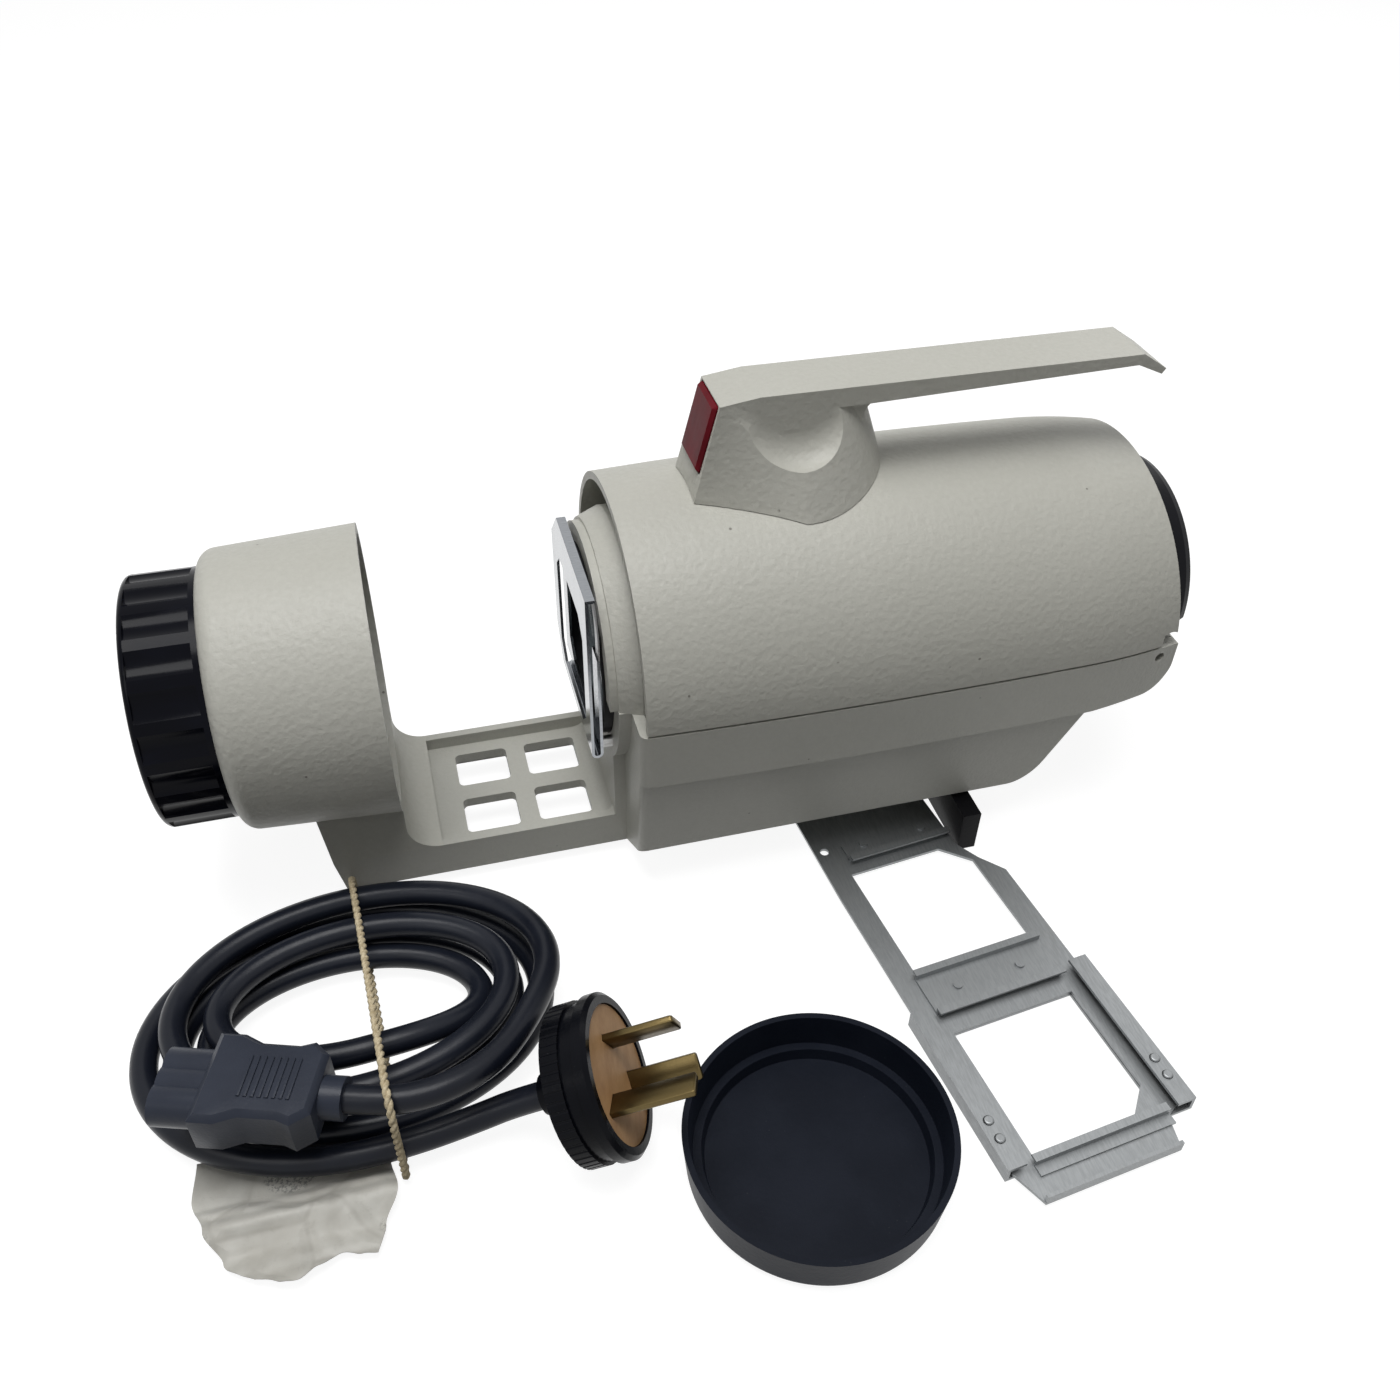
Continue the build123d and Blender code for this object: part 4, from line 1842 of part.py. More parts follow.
def bend_radii(points):
    """Radius at each inner point: 0.45 of the shorter run over the tangent of half the turn."""
    radii = []
    for before, here, after in zip(points, points[1:], points[2:]):
        first = Vector(*here) - Vector(*before)
        second = Vector(*after) - Vector(*here)
        turn = math.radians(first.get_angle(second))
        radii.append(0.45 * min(first.length, second.length) / math.tan(turn / 2))
    return radii


def free_cord(points, name):
    radii = bend_radii(points)
    print(name, "radii", [round(radius, 1) for radius in radii])
    path = FilletPolyline(*points, radius=radii)
    keep(name, cord_along(path, name))


def plug_plane():
    yaw = math.radians(PLUG_YAW)
    tilt = math.radians(PLUG_TILT)
    out = (math.cos(yaw) * math.cos(tilt), math.sin(yaw) * math.cos(tilt), math.sin(tilt))
    side = (-math.sin(yaw), math.cos(yaw), 0)
    return Plane(origin=PLUG_AT, x_dir=side, z_dir=out)


def connector_plane():
    turn = math.radians(CONNECTOR_TURN)
    return Plane(origin=CONNECTOR_AT, x_dir=(math.cos(turn), math.sin(turn), 0), z_dir=(0, 0, 1))


def along_normal(plane, distance):
    return tuple(plane.origin + plane.z_dir * distance)


def along_length(plane, distance):
    return tuple(plane.origin + plane.x_dir * distance)


def make_lead():
    edges = coil_path()
    print("coil least gap", round(least_gap(edges), 2))
    keep("cord_coil", cord_along(Wire(edges), "cord_coil"))
    coil_start = coil_start_run()[0]
    start_way = coil_heading(0)
    plug = plug_plane()
    plug_points = [
        tuple(coil_start),
        tuple(coil_start - start_way * PLUG_CORD_LEAD),
        along_normal(plug, -PLUG_TAIL_END - PLUG_CORD_LEAD),
        along_normal(plug, -PLUG_TAIL_END),
    ]
    free_cord(plug_points, "cord_to_plug")
    coil_end = coil_end_run()[1]
    end_way = coil_heading(COIL_TURNS)
    connector = connector_plane()
    tip = CONNECTOR_LENGTH / 2 + CONNECTOR_STUB_LENGTH
    connector_points = [
        tuple(coil_end),
        tuple(coil_end + end_way * CONNECTOR_CORD_START),
        *CONNECTOR_CORD_BENDS,
        along_length(connector, tip + CONNECTOR_CORD_LEAD),
        along_length(connector, tip),
    ]
    free_cord(connector_points, "cord_to_connector")


def make_plug():
    plane = plug_plane()

    def lathe(corners):
        outline = make_face(Polyline(*corners, close=True))
        return revolve(Plane.XZ * outline, Axis.Z, 360)

    face_back = PLUG_FACE_RECESS + PLUG_FACE_THICKNESS
    body = lathe(
        [
            (0, -face_back),
            (PLUG_FACE_RADIUS + HOLE_CLEARANCE, -face_back),
            (PLUG_FACE_RADIUS + HOLE_CLEARANCE, 0),
            (PLUG_RADIUS - 1, 0),
            (PLUG_RADIUS, -1),
            (PLUG_RADIUS, -PLUG_RIM),
            (PLUG_WAIST_RADIUS, -PLUG_RIM),
            (PLUG_WAIST_RADIUS, -PLUG_KNURL_START),
            (PLUG_RADIUS - 0.4, -PLUG_KNURL_START),
            (PLUG_RADIUS - 0.4, -PLUG_KNURL_END),
            (PLUG_TAIL_RADIUS * 1.6, -PLUG_BACK),
            (PLUG_TAIL_RADIUS, -PLUG_BACK),
            (PLUG_TAIL_RADIUS * 0.9, -PLUG_TAIL_END),
            (0, -PLUG_TAIL_END),
        ]
    )
    notch = Cylinder(0.6, PLUG_KNURL_END - PLUG_KNURL_START + 1)
    notches = []
    for index in range(PLUG_NOTCHES):
        angle = math.tau * index / PLUG_NOTCHES
        middle = -(PLUG_KNURL_END + PLUG_KNURL_START) / 2
        notches.append(Pos(PLUG_RADIUS * math.cos(angle), PLUG_RADIUS * math.sin(angle), middle) * notch)
    body -= notches
    keep("plug_body", plane.location * body)
    face_z = -PLUG_FACE_RECESS - PLUG_FACE_THICKNESS / 2
    face = Pos(0, 0, face_z) * Cylinder(PLUG_FACE_RADIUS, PLUG_FACE_THICKNESS)
    blades = []
    slots = []
    layout = [
        (90, EARTH_ORBIT, 90, EARTH_LENGTH),
        (-28, BLADE_ORBIT, BLADE_SPLAY, BLADE_LENGTH),
        (208, BLADE_ORBIT, -BLADE_SPLAY, BLADE_LENGTH),
    ]
    for angle, orbit, turn, length in layout:
        spot = Rot(0, 0, PLUG_ROLL) * Pos(
            orbit * math.cos(math.radians(angle)), orbit * math.sin(math.radians(angle)), 0
        ) * Rot(0, 0, turn)
        root = -PLUG_FACE_RECESS - PLUG_FACE_THICKNESS
        blades.append(spot * Pos(0, 0, (length + root) / 2) * Box(BLADE_WIDTH, BLADE_SHEET, length - root))
        slots.append(
            spot
            * Pos(0, 0, root / 2)
            * Box(BLADE_WIDTH + 2 * HOLE_CLEARANCE, BLADE_SHEET + 2 * HOLE_CLEARANCE, -root * 2)
        )
    face -= slots
    keep("plug_face", plane.location * face)
    keep("plug_blades", [plane.location * blade for blade in blades])


def make_connector():
    plane = connector_plane()
    half_length = CONNECTOR_LENGTH / 2
    half_width = CONNECTOR_WIDTH / 2
    waist = half_width - CONNECTOR_WAIST
    half = [
        (-half_length, half_width),
        (-half_length * 0.55, half_width),
        (-half_length * 0.2, waist),
        (half_length * 0.45, waist),
        (half_length * 0.7, half_width * 0.93),
        (half_length, half_width * 0.66),
    ]
    corners = half + [(x, -y) for x, y in reversed(half)]
    body = extrude(make_face(Polyline(*corners, close=True)), CONNECTOR_HEIGHT / 2, both=True)
    top_edges = body.edges().filter_by(Plane.XY).group_by(Axis.Z)
    body = chamfer(list(top_edges[0]) + list(top_edges[-1]), 1.4)
    rib_pitch = 1.6
    for index in range(CONNECTOR_RIB_COUNT):
        x = (index - (CONNECTOR_RIB_COUNT - 1) / 2) * rib_pitch + 2
        rib = Box(0.8, waist * 1.1, CONNECTOR_HEIGHT + 0.8)
        body += Pos(x, 0, 0) * rib
    nose_mid = -half_length - CONNECTOR_NOSE_LENGTH / 2
    lobe_radius = CONNECTOR_NOSE_HEIGHT / 2
    spread = CONNECTOR_NOSE_WIDTH / 2 - lobe_radius
    for y in (-spread, 0, spread):
        body += Pos(nose_mid, y, 0) * Rot(0, 90, 0) * Cylinder(lobe_radius, CONNECTOR_NOSE_LENGTH + 0.5)
    for y in (-spread, 0, spread):
        body -= (
            Pos(-half_length - CONNECTOR_NOSE_LENGTH, y, 0)
            * Rot(0, 90, 0)
            * Cylinder(INLET_PIN_RADIUS + HOLE_CLEARANCE, CONNECTOR_NOSE_LENGTH)
        )
    stub = Pos(half_length + CONNECTOR_STUB_LENGTH / 2 - 0.5, 0, 0) * Rot(0, 90, 0)
    body += stub * Cylinder(CONNECTOR_STUB_RADIUS, CONNECTOR_STUB_LENGTH + 1.0)
    keep("connector", plane.location * body)


# Twine tie and tag

def make_twine():
    across = Vector(TWINE_NEAR[0] - TWINE_FAR[0], TWINE_NEAR[1] - TWINE_FAR[1], 0)
    width = across.length
    plane = Plane(
        origin=(TWINE_FAR[0], TWINE_FAR[1], 0),
        x_dir=across.normalized(),
        z_dir=across.normalized().cross(Vector(0, 0, 1)),
    )
    floor = TWINE_RADIUS + 0.1
    corners = [
        (0, floor),
        (0, TWINE_TOP_Z),
        (width * 0.5, TWINE_TOP_Z + TWINE_RADIUS),
        (width * 0.78, TWINE_CREST_Z),
        (width * 0.93, TWINE_CREST_Z),
        (width, TWINE_TOP_Z),
        (width, floor),
    ]
    loop = FilletPolyline(*corners, radius=TWINE_ROUND, close=True)
    wire = (plane * loop).wire()
    start = wire.position_at(0)
    section = Plane(origin=start, z_dir=wire.tangent_at(0)) * Circle(TWINE_RADIUS)
    keep("twine_tie", sweep(section, path=wire))


def make_tag():
    profile = [(-98.0, 0.15), (-111.0, 0.15), (-119.0, 5.0), (-125.5, 1.6), (-134.0, 4.2)]
    under = [(y, z) for y, z in profile]
    over = [(y, z + TAG_SHEET) for y, z in reversed(profile)]
    outline = make_face(Polyline(*(under + over), close=True))
    sheet = extrude(Plane(origin=(-224.0, 0, 0), x_dir=(0, 1, 0), z_dir=(1, 0, 0)) * outline, 52.0)
    edge = make_face(
        Polyline(
            (-221.0, -99.0),
            (-177.0, -99.0),
            (-172.2, -118.0),
            (-178.6, -127.0),
            (-188.0, -126.0),
            (-203.0, -133.6),
            (-215.0, -127.0),
            (-222.6, -112.0),
            close=True,
        )
    )
    keep("paper_tag", sheet & extrude(edge, FAR / 4))


def build_all():
    make_lens_mount()
    make_focus_ring()
    make_lens_guide()
    make_lens_tube()
    make_base_casting()
    make_lamp_cover()
    make_hinge()
    make_handle()
    make_button()
    make_catch_keeper()
    make_gate()
    make_condenser()
    make_lamp()
    make_reflector()
    make_deck()
    make_cowl()
    make_motor()
    make_fan()
    make_cowl_screws()
    make_feet()
    make_inlet()
    make_switch()
    make_changer()
    make_lens_cap()
    make_lead()
    make_plug()
    make_connector()
    make_twine()
    make_tag()


def write_steps():
    os.makedirs("parts", exist_ok=True)
    for name, shape in PARTS.items():
        solids = []
        for item in shape if isinstance(shape, (list, ShapeList)) else [shape]:
            solids += item.solids()
        whole = solids[0] if len(solids) == 1 else Compound(solids)
        whole.label = name
        export_step(whole, os.path.join("parts", name + ".step"))


build_all()
write_steps()
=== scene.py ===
import math

import bmesh
import bpy
from mathutils import Matrix, Vector, noise


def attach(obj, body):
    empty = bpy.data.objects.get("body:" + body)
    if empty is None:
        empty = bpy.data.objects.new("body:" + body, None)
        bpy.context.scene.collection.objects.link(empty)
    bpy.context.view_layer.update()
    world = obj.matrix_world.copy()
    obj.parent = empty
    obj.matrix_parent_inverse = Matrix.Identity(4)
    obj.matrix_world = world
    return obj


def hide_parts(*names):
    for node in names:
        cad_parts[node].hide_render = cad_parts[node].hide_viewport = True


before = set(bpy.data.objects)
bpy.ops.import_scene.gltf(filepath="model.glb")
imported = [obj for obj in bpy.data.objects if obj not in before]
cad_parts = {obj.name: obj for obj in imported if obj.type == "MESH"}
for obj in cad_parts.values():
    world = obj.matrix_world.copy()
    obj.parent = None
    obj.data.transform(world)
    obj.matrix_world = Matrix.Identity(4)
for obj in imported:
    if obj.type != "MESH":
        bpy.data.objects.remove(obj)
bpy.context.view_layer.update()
bpy.ops.object.select_all(action="DESELECT")

# Camera, at the photograph's angle

CAMERA_AT = (-0.151877, -0.281728, 0.284183)
CAMERA_YAW = math.radians(16.119)
CAMERA_DOWN = math.radians(40.622)
CAMERA_ROLL = math.radians(1.398)
LENS_MM = 32.92
SENSOR_MM = 36
NEAR_CLIP = 0.01


def make_camera():
    """Aim the camera by its turn, its slope down and its roll."""
    level = Vector((math.cos(CAMERA_YAW), -math.sin(CAMERA_YAW), 0))
    ahead = Vector((
        math.sin(CAMERA_YAW) * math.cos(CAMERA_DOWN),
        math.cos(CAMERA_YAW) * math.cos(CAMERA_DOWN),
        -math.sin(CAMERA_DOWN),
    ))
    over = level.cross(ahead)
    right = level * math.cos(CAMERA_ROLL) + over * math.sin(CAMERA_ROLL)
    up = right.cross(ahead)
    data = bpy.data.cameras.new("camera")
    data.lens = LENS_MM
    data.sensor_width = SENSOR_MM
    data.sensor_fit = "HORIZONTAL"
    data.clip_start = NEAR_CLIP
    camera = bpy.data.objects.new("camera", data)
    bpy.context.scene.collection.objects.link(camera)
    turn = Matrix((right, up, -ahead)).transposed().to_4x4()
    camera.matrix_world = Matrix.Translation(CAMERA_AT) @ turn
    bpy.context.scene.camera = camera


make_camera()

# Mains lead: free points listed one by one, the coil by its formula, all in metres

CORD_RADIUS = 0.0034
COIL_CENTRE = (-0.1806, -0.0705)
COIL_HALF = (0.0546, 0.0404)
COIL_PITCH = 0.008
COIL_LOWEST = 0.006
COIL_LAYER_RISE = 0.0076
COIL_RISE = (2.75, 3.0)
COIL_TURNS = 4.86
COIL_END_DEPTH = 0.004
COIL_START_LIFT = (0.002, 0.3)
COIL_END_LIFT = (0.00735, 0.3667)
COIL_START_TURN = -0.2167
COIL_SHIFT = (0.0006, 0.0012)
COIL_TAIL = 0.007
POINTS_PER_TURN = 20
HEADING_STEP = 0.002
PLUG_AT = Vector((-0.12045, -0.1135, 0.0223))
PLUG_YAW = math.radians(-12.7)
PLUG_TILT = math.radians(23.7)
PLUG_TAIL_END = 0.0195
PLUG_LEAD = 0.0086
CONNECTOR_AT = Vector((-0.19952, -0.10071, 0.0258))
CONNECTOR_TURN = math.radians(-19)
CONNECTOR_TIP = 0.01825
CONNECTOR_LEAD = 0.00891
CONNECTOR_START = 0.00761
CONNECTOR_BENDS = [
    (-0.14875, -0.10379, 0.02428),
    (-0.15637, -0.10800, 0.02507),
    (-0.16495, -0.11000, 0.02557),
]
CORD_ROUNDNESS = 5
ROUTE_STEPS = 6

plug_out = Vector((
    math.cos(PLUG_YAW) * math.cos(PLUG_TILT),
    math.sin(PLUG_YAW) * math.cos(PLUG_TILT),
    math.sin(PLUG_TILT),
))
connector_along = Vector((math.cos(CONNECTOR_TURN), math.sin(CONNECTOR_TURN), 0))


def coil_point(turn):
    """Centre of the cord after this many turns: it winds inwards, climbs a layer and winds out."""
    climb = min(max((turn - COIL_RISE[0]) / (COIL_RISE[1] - COIL_RISE[0]), 0), 1)
    level = climb * climb * (3 - 2 * climb)
    wound_out = max(turn - COIL_RISE[1], 0) / (COIL_TURNS - COIL_RISE[1])
    depth = COIL_PITCH * min(turn, COIL_RISE[1])
    depth -= (COIL_PITCH * COIL_RISE[1] - COIL_END_DEPTH) * wound_out
    angle = math.tau * (COIL_START_TURN - turn)
    first = max(COIL_START_LIFT[1] - turn, 0) / COIL_START_LIFT[1]
    last = max(turn - COIL_TURNS + COIL_END_LIFT[1], 0) / COIL_END_LIFT[1]
    lift = COIL_START_LIFT[0] * first**2 + COIL_END_LIFT[0] * last**2
    return Vector((
        COIL_CENTRE[0] + COIL_SHIFT[0] * level + (COIL_HALF[0] - depth) * math.cos(angle),
        COIL_CENTRE[1] + COIL_SHIFT[1] * level + (COIL_HALF[1] - depth) * math.sin(angle),
        COIL_LOWEST + COIL_LAYER_RISE * level + lift,
    ))


def coil_heading(turn):
    start = max(0.0, turn - HEADING_STEP)
    end = min(COIL_TURNS, turn + HEADING_STEP)
    return (coil_point(end) - coil_point(start)).normalized()


def lead_route():
    """Points of the whole lead, from the plug's tail to the connector's."""
    plug_tail = PLUG_AT - plug_out * PLUG_TAIL_END
    coil_in = coil_point(0) - coil_heading(0) * COIL_TAIL
    coil_out = coil_point(COIL_TURNS) + coil_heading(COIL_TURNS) * COIL_TAIL
    route = [plug_tail, plug_tail - plug_out * PLUG_LEAD, coil_in - coil_heading(0) * PLUG_LEAD]
    count = round(COIL_TURNS * POINTS_PER_TURN)
    route += [coil_point(COIL_TURNS * (index / count)) for index in range(count + 1)]
    route += [coil_out + coil_heading(COIL_TURNS) * CONNECTOR_START]
    route += [Vector(point) for point in CONNECTOR_BENDS]
    tip = CONNECTOR_AT + connector_along * CONNECTOR_TIP
    return route + [tip + connector_along * CONNECTOR_LEAD, tip]


def spline_object(name, route, radius, cyclic=False):
    """A smooth curve along the route; each point carries the tube's radius."""
    curve = bpy.data.curves.new(name, "CURVE")
    curve.dimensions = "3D"
    spline = curve.splines.new("NURBS")
    spline.points.add(len(route) - 1)
    for point, at in zip(spline.points, route):
        point.co = (*at, 1)
        point.radius = radius
    spline.order_u = 3
    spline.use_endpoint_u = not cyclic
    spline.use_cyclic_u = cyclic
    spline.resolution_u = ROUTE_STEPS
    curve.bevel_depth = 1.0 if radius else 0.0
    curve.bevel_resolution = CORD_ROUNDNESS
    curve.use_fill_caps = True
    made = bpy.data.objects.new(name, curve)
    bpy.context.scene.collection.objects.link(made)
    return made


mains_lead = spline_object("mains_lead", lead_route(), CORD_RADIUS)
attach(mains_lead, "base")
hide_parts("cord_coil", "cord_to_plug", "cord_to_connector")

# Shaping tools


SMOOTH_SOFT = 34
SMOOTH_HANDLE = 28
SMOOTH_TAG = 50
SMOOTH_TWINE = 60


def pick(made):
    """Select this object alone and make it the active one."""
    bpy.ops.object.select_all(action="DESELECT")
    made.select_set(True)
    bpy.context.view_layer.objects.active = made


def fresh(name, made):
    made.name = name
    made.data.name = name
    return made


def edit_mesh(made, shape_it):
    """Run one shaping step on an object's mesh in edit mode."""
    pick(made)
    bpy.ops.object.mode_set(mode="EDIT")
    mesh = bmesh.from_edit_mesh(made.data)
    shape_it(mesh)
    bmesh.update_edit_mesh(made.data)
    bpy.ops.object.mode_set(mode="OBJECT")


def apply_all(made):
    pick(made)
    for modifier in list(made.modifiers):
        bpy.ops.object.modifier_apply(modifier=modifier.name)


def smooth_by(made, degrees):
    pick(made)
    bpy.ops.object.shade_smooth_by_angle(angle=math.radians(degrees))


def stand_in(made, body, slot, *nodes):
    """The piece rides on a body and stands for CAD nodes; the slot is not used."""
    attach(made, body)
    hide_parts(*nodes)


# Twine tie: two twisted strands that follow a route around the coil

TWINE_FAR = Vector((-0.1782, -0.0256, 0))
TWINE_NEAR = Vector((-0.1726, -0.1157, 0))
TWINE_ROUTE = [
    (0.000, 0.0030), (0.000, 0.0075), (0.026, 0.0118), (0.066, 0.0164), (0.110, 0.0185),
    (0.180, 0.0187), (0.290, 0.0190), (0.450, 0.0218), (0.620, 0.0252), (0.780, 0.0286),
    (0.880, 0.0308), (0.935, 0.0318), (0.975, 0.0304), (1.000, 0.0262), (1.000, 0.0180),
    (1.000, 0.0100), (1.000, 0.0035), (0.985, 0.0012), (0.900, 0.0012), (0.600, 0.0012),
    (0.300, 0.0012), (0.100, 0.0012), (0.015, 0.0012),
]
STRAND_RADIUS = 0.00062
STRAND_ORBIT = 0.0005
TWIST_PITCH = 0.0048
STRAND_STEP = 0.0008
GUIDE_STEPS = 24
STRAND_ROUNDNESS = 2
SHORTEST = 1e-9


def loop_points(name, route):
    """Points read along a closed smooth route, evenly spaced."""
    guide = spline_object(name, route, 0, cyclic=True)
    guide.data.resolution_u = GUIDE_STEPS
    guide.data.splines[0].resolution_u = GUIDE_STEPS
    mesh = bpy.data.meshes.new_from_object(guide)
    line = [vertex.co.copy() for vertex in mesh.vertices]
    bpy.data.objects.remove(guide)
    bpy.data.meshes.remove(mesh)
    line.append(line[0])
    lengths = [(there - here).length for here, there in zip(line, line[1:])]
    count = round(sum(lengths) / STRAND_STEP)
    step = sum(lengths) / count
    points = []
    travelled = 0.0
    for here, there, length in zip(line, line[1:], lengths):
        while len(points) < count and len(points) * step <= travelled + length:
            share = (len(points) * step - travelled) / max(length, SHORTEST)
            points.append(here.lerp(there, share))
        travelled += length
    return points, step


def make_twine():
    """Lay two strands round each other along the route and join them."""
    across = TWINE_NEAR - TWINE_FAR
    side = across.cross(Vector((0, 0, 1))).normalized()
    route = [TWINE_FAR + across * share + Vector((0, 0, height)) for share, height in TWINE_ROUTE]
    points, step = loop_points("twine_route", route)
    turns = round(len(points) * step / TWIST_PITCH)
    strands = []
    for strand in range(2):
        line = []
        for index, point in enumerate(points):
            way = (points[(index + 1) % len(points)] - points[index - 1]).normalized()
            angle = math.tau * turns * index / len(points) + math.pi * strand
            out = side * math.cos(angle) + way.cross(side) * math.sin(angle)
            line.append(point + out * STRAND_ORBIT)
        made = spline_object("twine_strand", line, STRAND_RADIUS, cyclic=True)
        made.data.splines[0].resolution_u = 1
        made.data.bevel_resolution = STRAND_ROUNDNESS
        strands.append(made)
    bpy.ops.object.select_all(action="DESELECT")
    for made in strands:
        made.select_set(True)
    bpy.context.view_layer.objects.active = strands[0]
    bpy.ops.object.convert(target="MESH")
    bpy.ops.object.join()
    twine = fresh("twine_strands", bpy.context.object)
    smooth_by(twine, SMOOTH_TWINE)
    stand_in(twine, "base", "twine", "twine_tie")
    return twine


twine = make_twine()

# Paper tag: a thin crumpled sheet under the near side of the coil

TAG_LEFT = [
    (-0.0985, -0.2204), (-0.1083, -0.2213), (-0.1190, -0.2178), (-0.1260, -0.2138),
    (-0.1345, -0.2050),
]
TAG_RIGHT = [
    (-0.0985, -0.1775), (-0.1083, -0.1760), (-0.1190, -0.1745), (-0.1260, -0.1781),
    (-0.1345, -0.1806),
]
TAG_BOTTOM = [
    (0.00, -0.1320), (0.16, -0.1344), (0.30, -0.1348), (0.52, -0.1325),
    (0.72, -0.1304), (0.86, -0.1318), (1.00, -0.1326),
]
TAG_RISE = [
    (-0.1345, 0.0040), (-0.1300, 0.0026), (-0.1255, 0.0018), (-0.1190, 0.0052),
    (-0.1150, 0.0030), (-0.1110, 0.0006), (-0.0985, 0.0003),
]
TAG_TOP = -0.0985
TAG_THICKNESS = 0.00016
TAG_GRID = (72, 56)
TAG_LOWEST = 0.0002
TAG_FREE_FROM = -0.108
TAG_FREE_OVER = 0.006
TAG_HELD_SHARE = 0.12
FOLD_SCALES = (75, 165)
FOLD_HEIGHT = 0.0016
WAVE_SCALE = 38
WAVE_HEIGHT = 0.0007


def along_table(table, at):
    """Value between the rows of a table, eased between them."""
    rows = sorted(table)
    if at <= rows[0][0]:
        return rows[0][1]
    for (low, first), (high, second) in zip(rows, rows[1:]):
        if at <= high:
            share = (at - low) / (high - low)
            return first + (second - first) * share * share * (3 - 2 * share)
    return rows[-1][1]


def crumple(x, y):
    """Small sharp creases and soft waves of the worn sheet."""
    place = Vector((x, y, 0.0))
    folds = abs(noise.noise(place * FOLD_SCALES[0]))
    folds += 0.5 * abs(noise.noise(place * FOLD_SCALES[1] + Vector((3, 1, 2))))
    waves = noise.noise(place * WAVE_SCALE + Vector((7, 5, 1)))
    return folds * FOLD_HEIGHT + waves * WAVE_HEIGHT


def shape_tag(mesh):
    """Move a flat grid's corners to the torn outline, the rise and the creases."""
    for corner in mesh.verts:
        across, down = corner.co.x + 0.5, 0.5 - corner.co.y
        low = along_table(TAG_BOTTOM, across)
        y = TAG_TOP + (low - TAG_TOP) * down
        left, right = along_table(TAG_LEFT, y), along_table(TAG_RIGHT, y)
        x = left + (right - left) * across
        free = min(1.0, max(0.0, (TAG_FREE_FROM - y) / TAG_FREE_OVER))
        depth = TAG_HELD_SHARE + (1 - TAG_HELD_SHARE) * free
        z = along_table(TAG_RISE, y) + crumple(x, y) * depth
        corner.co = (x, y, max(z, TAG_LOWEST))


def make_tag():
    """A flat grid shaped into the tag, then given the paper's thickness."""
    bpy.ops.object.select_all(action="DESELECT")
    bpy.ops.mesh.primitive_grid_add(x_subdivisions=TAG_GRID[0], y_subdivisions=TAG_GRID[1], size=1)
    tag = fresh("crumpled_tag", bpy.context.object)
    edit_mesh(tag, shape_tag)
    wall = tag.modifiers.new("sheet", "SOLIDIFY")
    wall.thickness = TAG_THICKNESS
    wall.offset = 1
    apply_all(tag)
    smooth_by(tag, SMOOTH_TAG)
    stand_in(tag, "base", "paper", "paper_tag")
    return tag


tag = make_tag()

# Pieces that start from a copy of their solid: softer edges, and forms the photograph shows

JOIN_WITHIN = 0.000002
SOFT_ANGLE = math.radians(32)
SOFT_WIDTH = 0.0005
SOFT_STEPS = 3
SCOOP_AT = (-0.0535, 0.1580)
SCOOP_RADIUS = 0.0370
SCOOP_DEPTH = 0.020
SCOOP_ROUND = 0.0100
SCOOP_INNER_Y = 0.00874
SCOOP_SIDES = 120
SCOOP_STEPS = 14
RIM_WITHIN = 1e-5
PINS_TURN = math.radians(63)


def merged_copy(name, node):
    """A copy of a solid's mesh with its loose triangles joined up."""
    made = bpy.data.objects.new(name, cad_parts[node].data.copy())
    bpy.context.scene.collection.objects.link(made)
    pick(made)
    bpy.ops.mesh.customdata_custom_splitnormals_clear()
    bpy.ops.object.mode_set(mode="EDIT")
    bpy.ops.mesh.select_all(action="SELECT")
    bpy.ops.mesh.remove_doubles(threshold=JOIN_WITHIN)
    bpy.ops.object.mode_set(mode="OBJECT")
    return fresh(name, made)


def soften(made):
    """Round the sharp edges with a bevel, then shade smoothly."""
    edge = made.modifiers.new("edge", "BEVEL")
    edge.width = SOFT_WIDTH
    edge.segments = SOFT_STEPS
    edge.limit_method = "ANGLE"
    edge.angle_limit = SOFT_ANGLE
    edge.use_clamp_overlap = True
    apply_all(made)
    smooth_by(made, SMOOTH_SOFT)
    return made


def scoop_cutter(side):
    """A drum with a rounded inner rim, laid across beside the handle."""
    depth_mid = side * (SCOOP_INNER_Y + SCOOP_DEPTH / 2)
    bpy.ops.object.select_all(action="DESELECT")
    bpy.ops.mesh.primitive_cylinder_add(
        vertices=SCOOP_SIDES,
        radius=SCOOP_RADIUS,
        depth=SCOOP_DEPTH,
        location=(SCOOP_AT[0], depth_mid, SCOOP_AT[1]),
        rotation=(math.pi / 2, 0, 0),
    )
    cutter = fresh("scoop_cutter", bpy.context.object)
    bpy.ops.object.transform_apply(location=True, rotation=True, scale=True)
    bpy.ops.object.mode_set(mode="EDIT")
    mesh = bmesh.from_edit_mesh(cutter.data)
    for edge in mesh.edges:
        inner = [abs(abs(end.co.y) - SCOOP_INNER_Y) < RIM_WITHIN for end in edge.verts]
        edge.select_set(all(inner))
    bmesh.update_edit_mesh(cutter.data)
    bpy.ops.mesh.bevel(offset=SCOOP_ROUND, segments=SCOOP_STEPS)
    bpy.ops.object.mode_set(mode="OBJECT")
    return cutter


def make_handle_shell():
    """The handle with its side scoops cut wider."""
    handle = merged_copy("handle_shell", "handle")
    cutters = [scoop_cutter(side) for side in (-1, 1)]
    for cutter in cutters:
        cut = handle.modifiers.new("scoop", "BOOLEAN")
        cut.operation = "DIFFERENCE"
        cut.solver = "EXACT"
        cut.object = cutter
    apply_all(handle)
    for cutter in cutters:
        bpy.data.objects.remove(cutter)
    smooth_by(handle, SMOOTH_HANDLE)
    stand_in(handle, "cover", "housing_grey", "handle")
    return handle


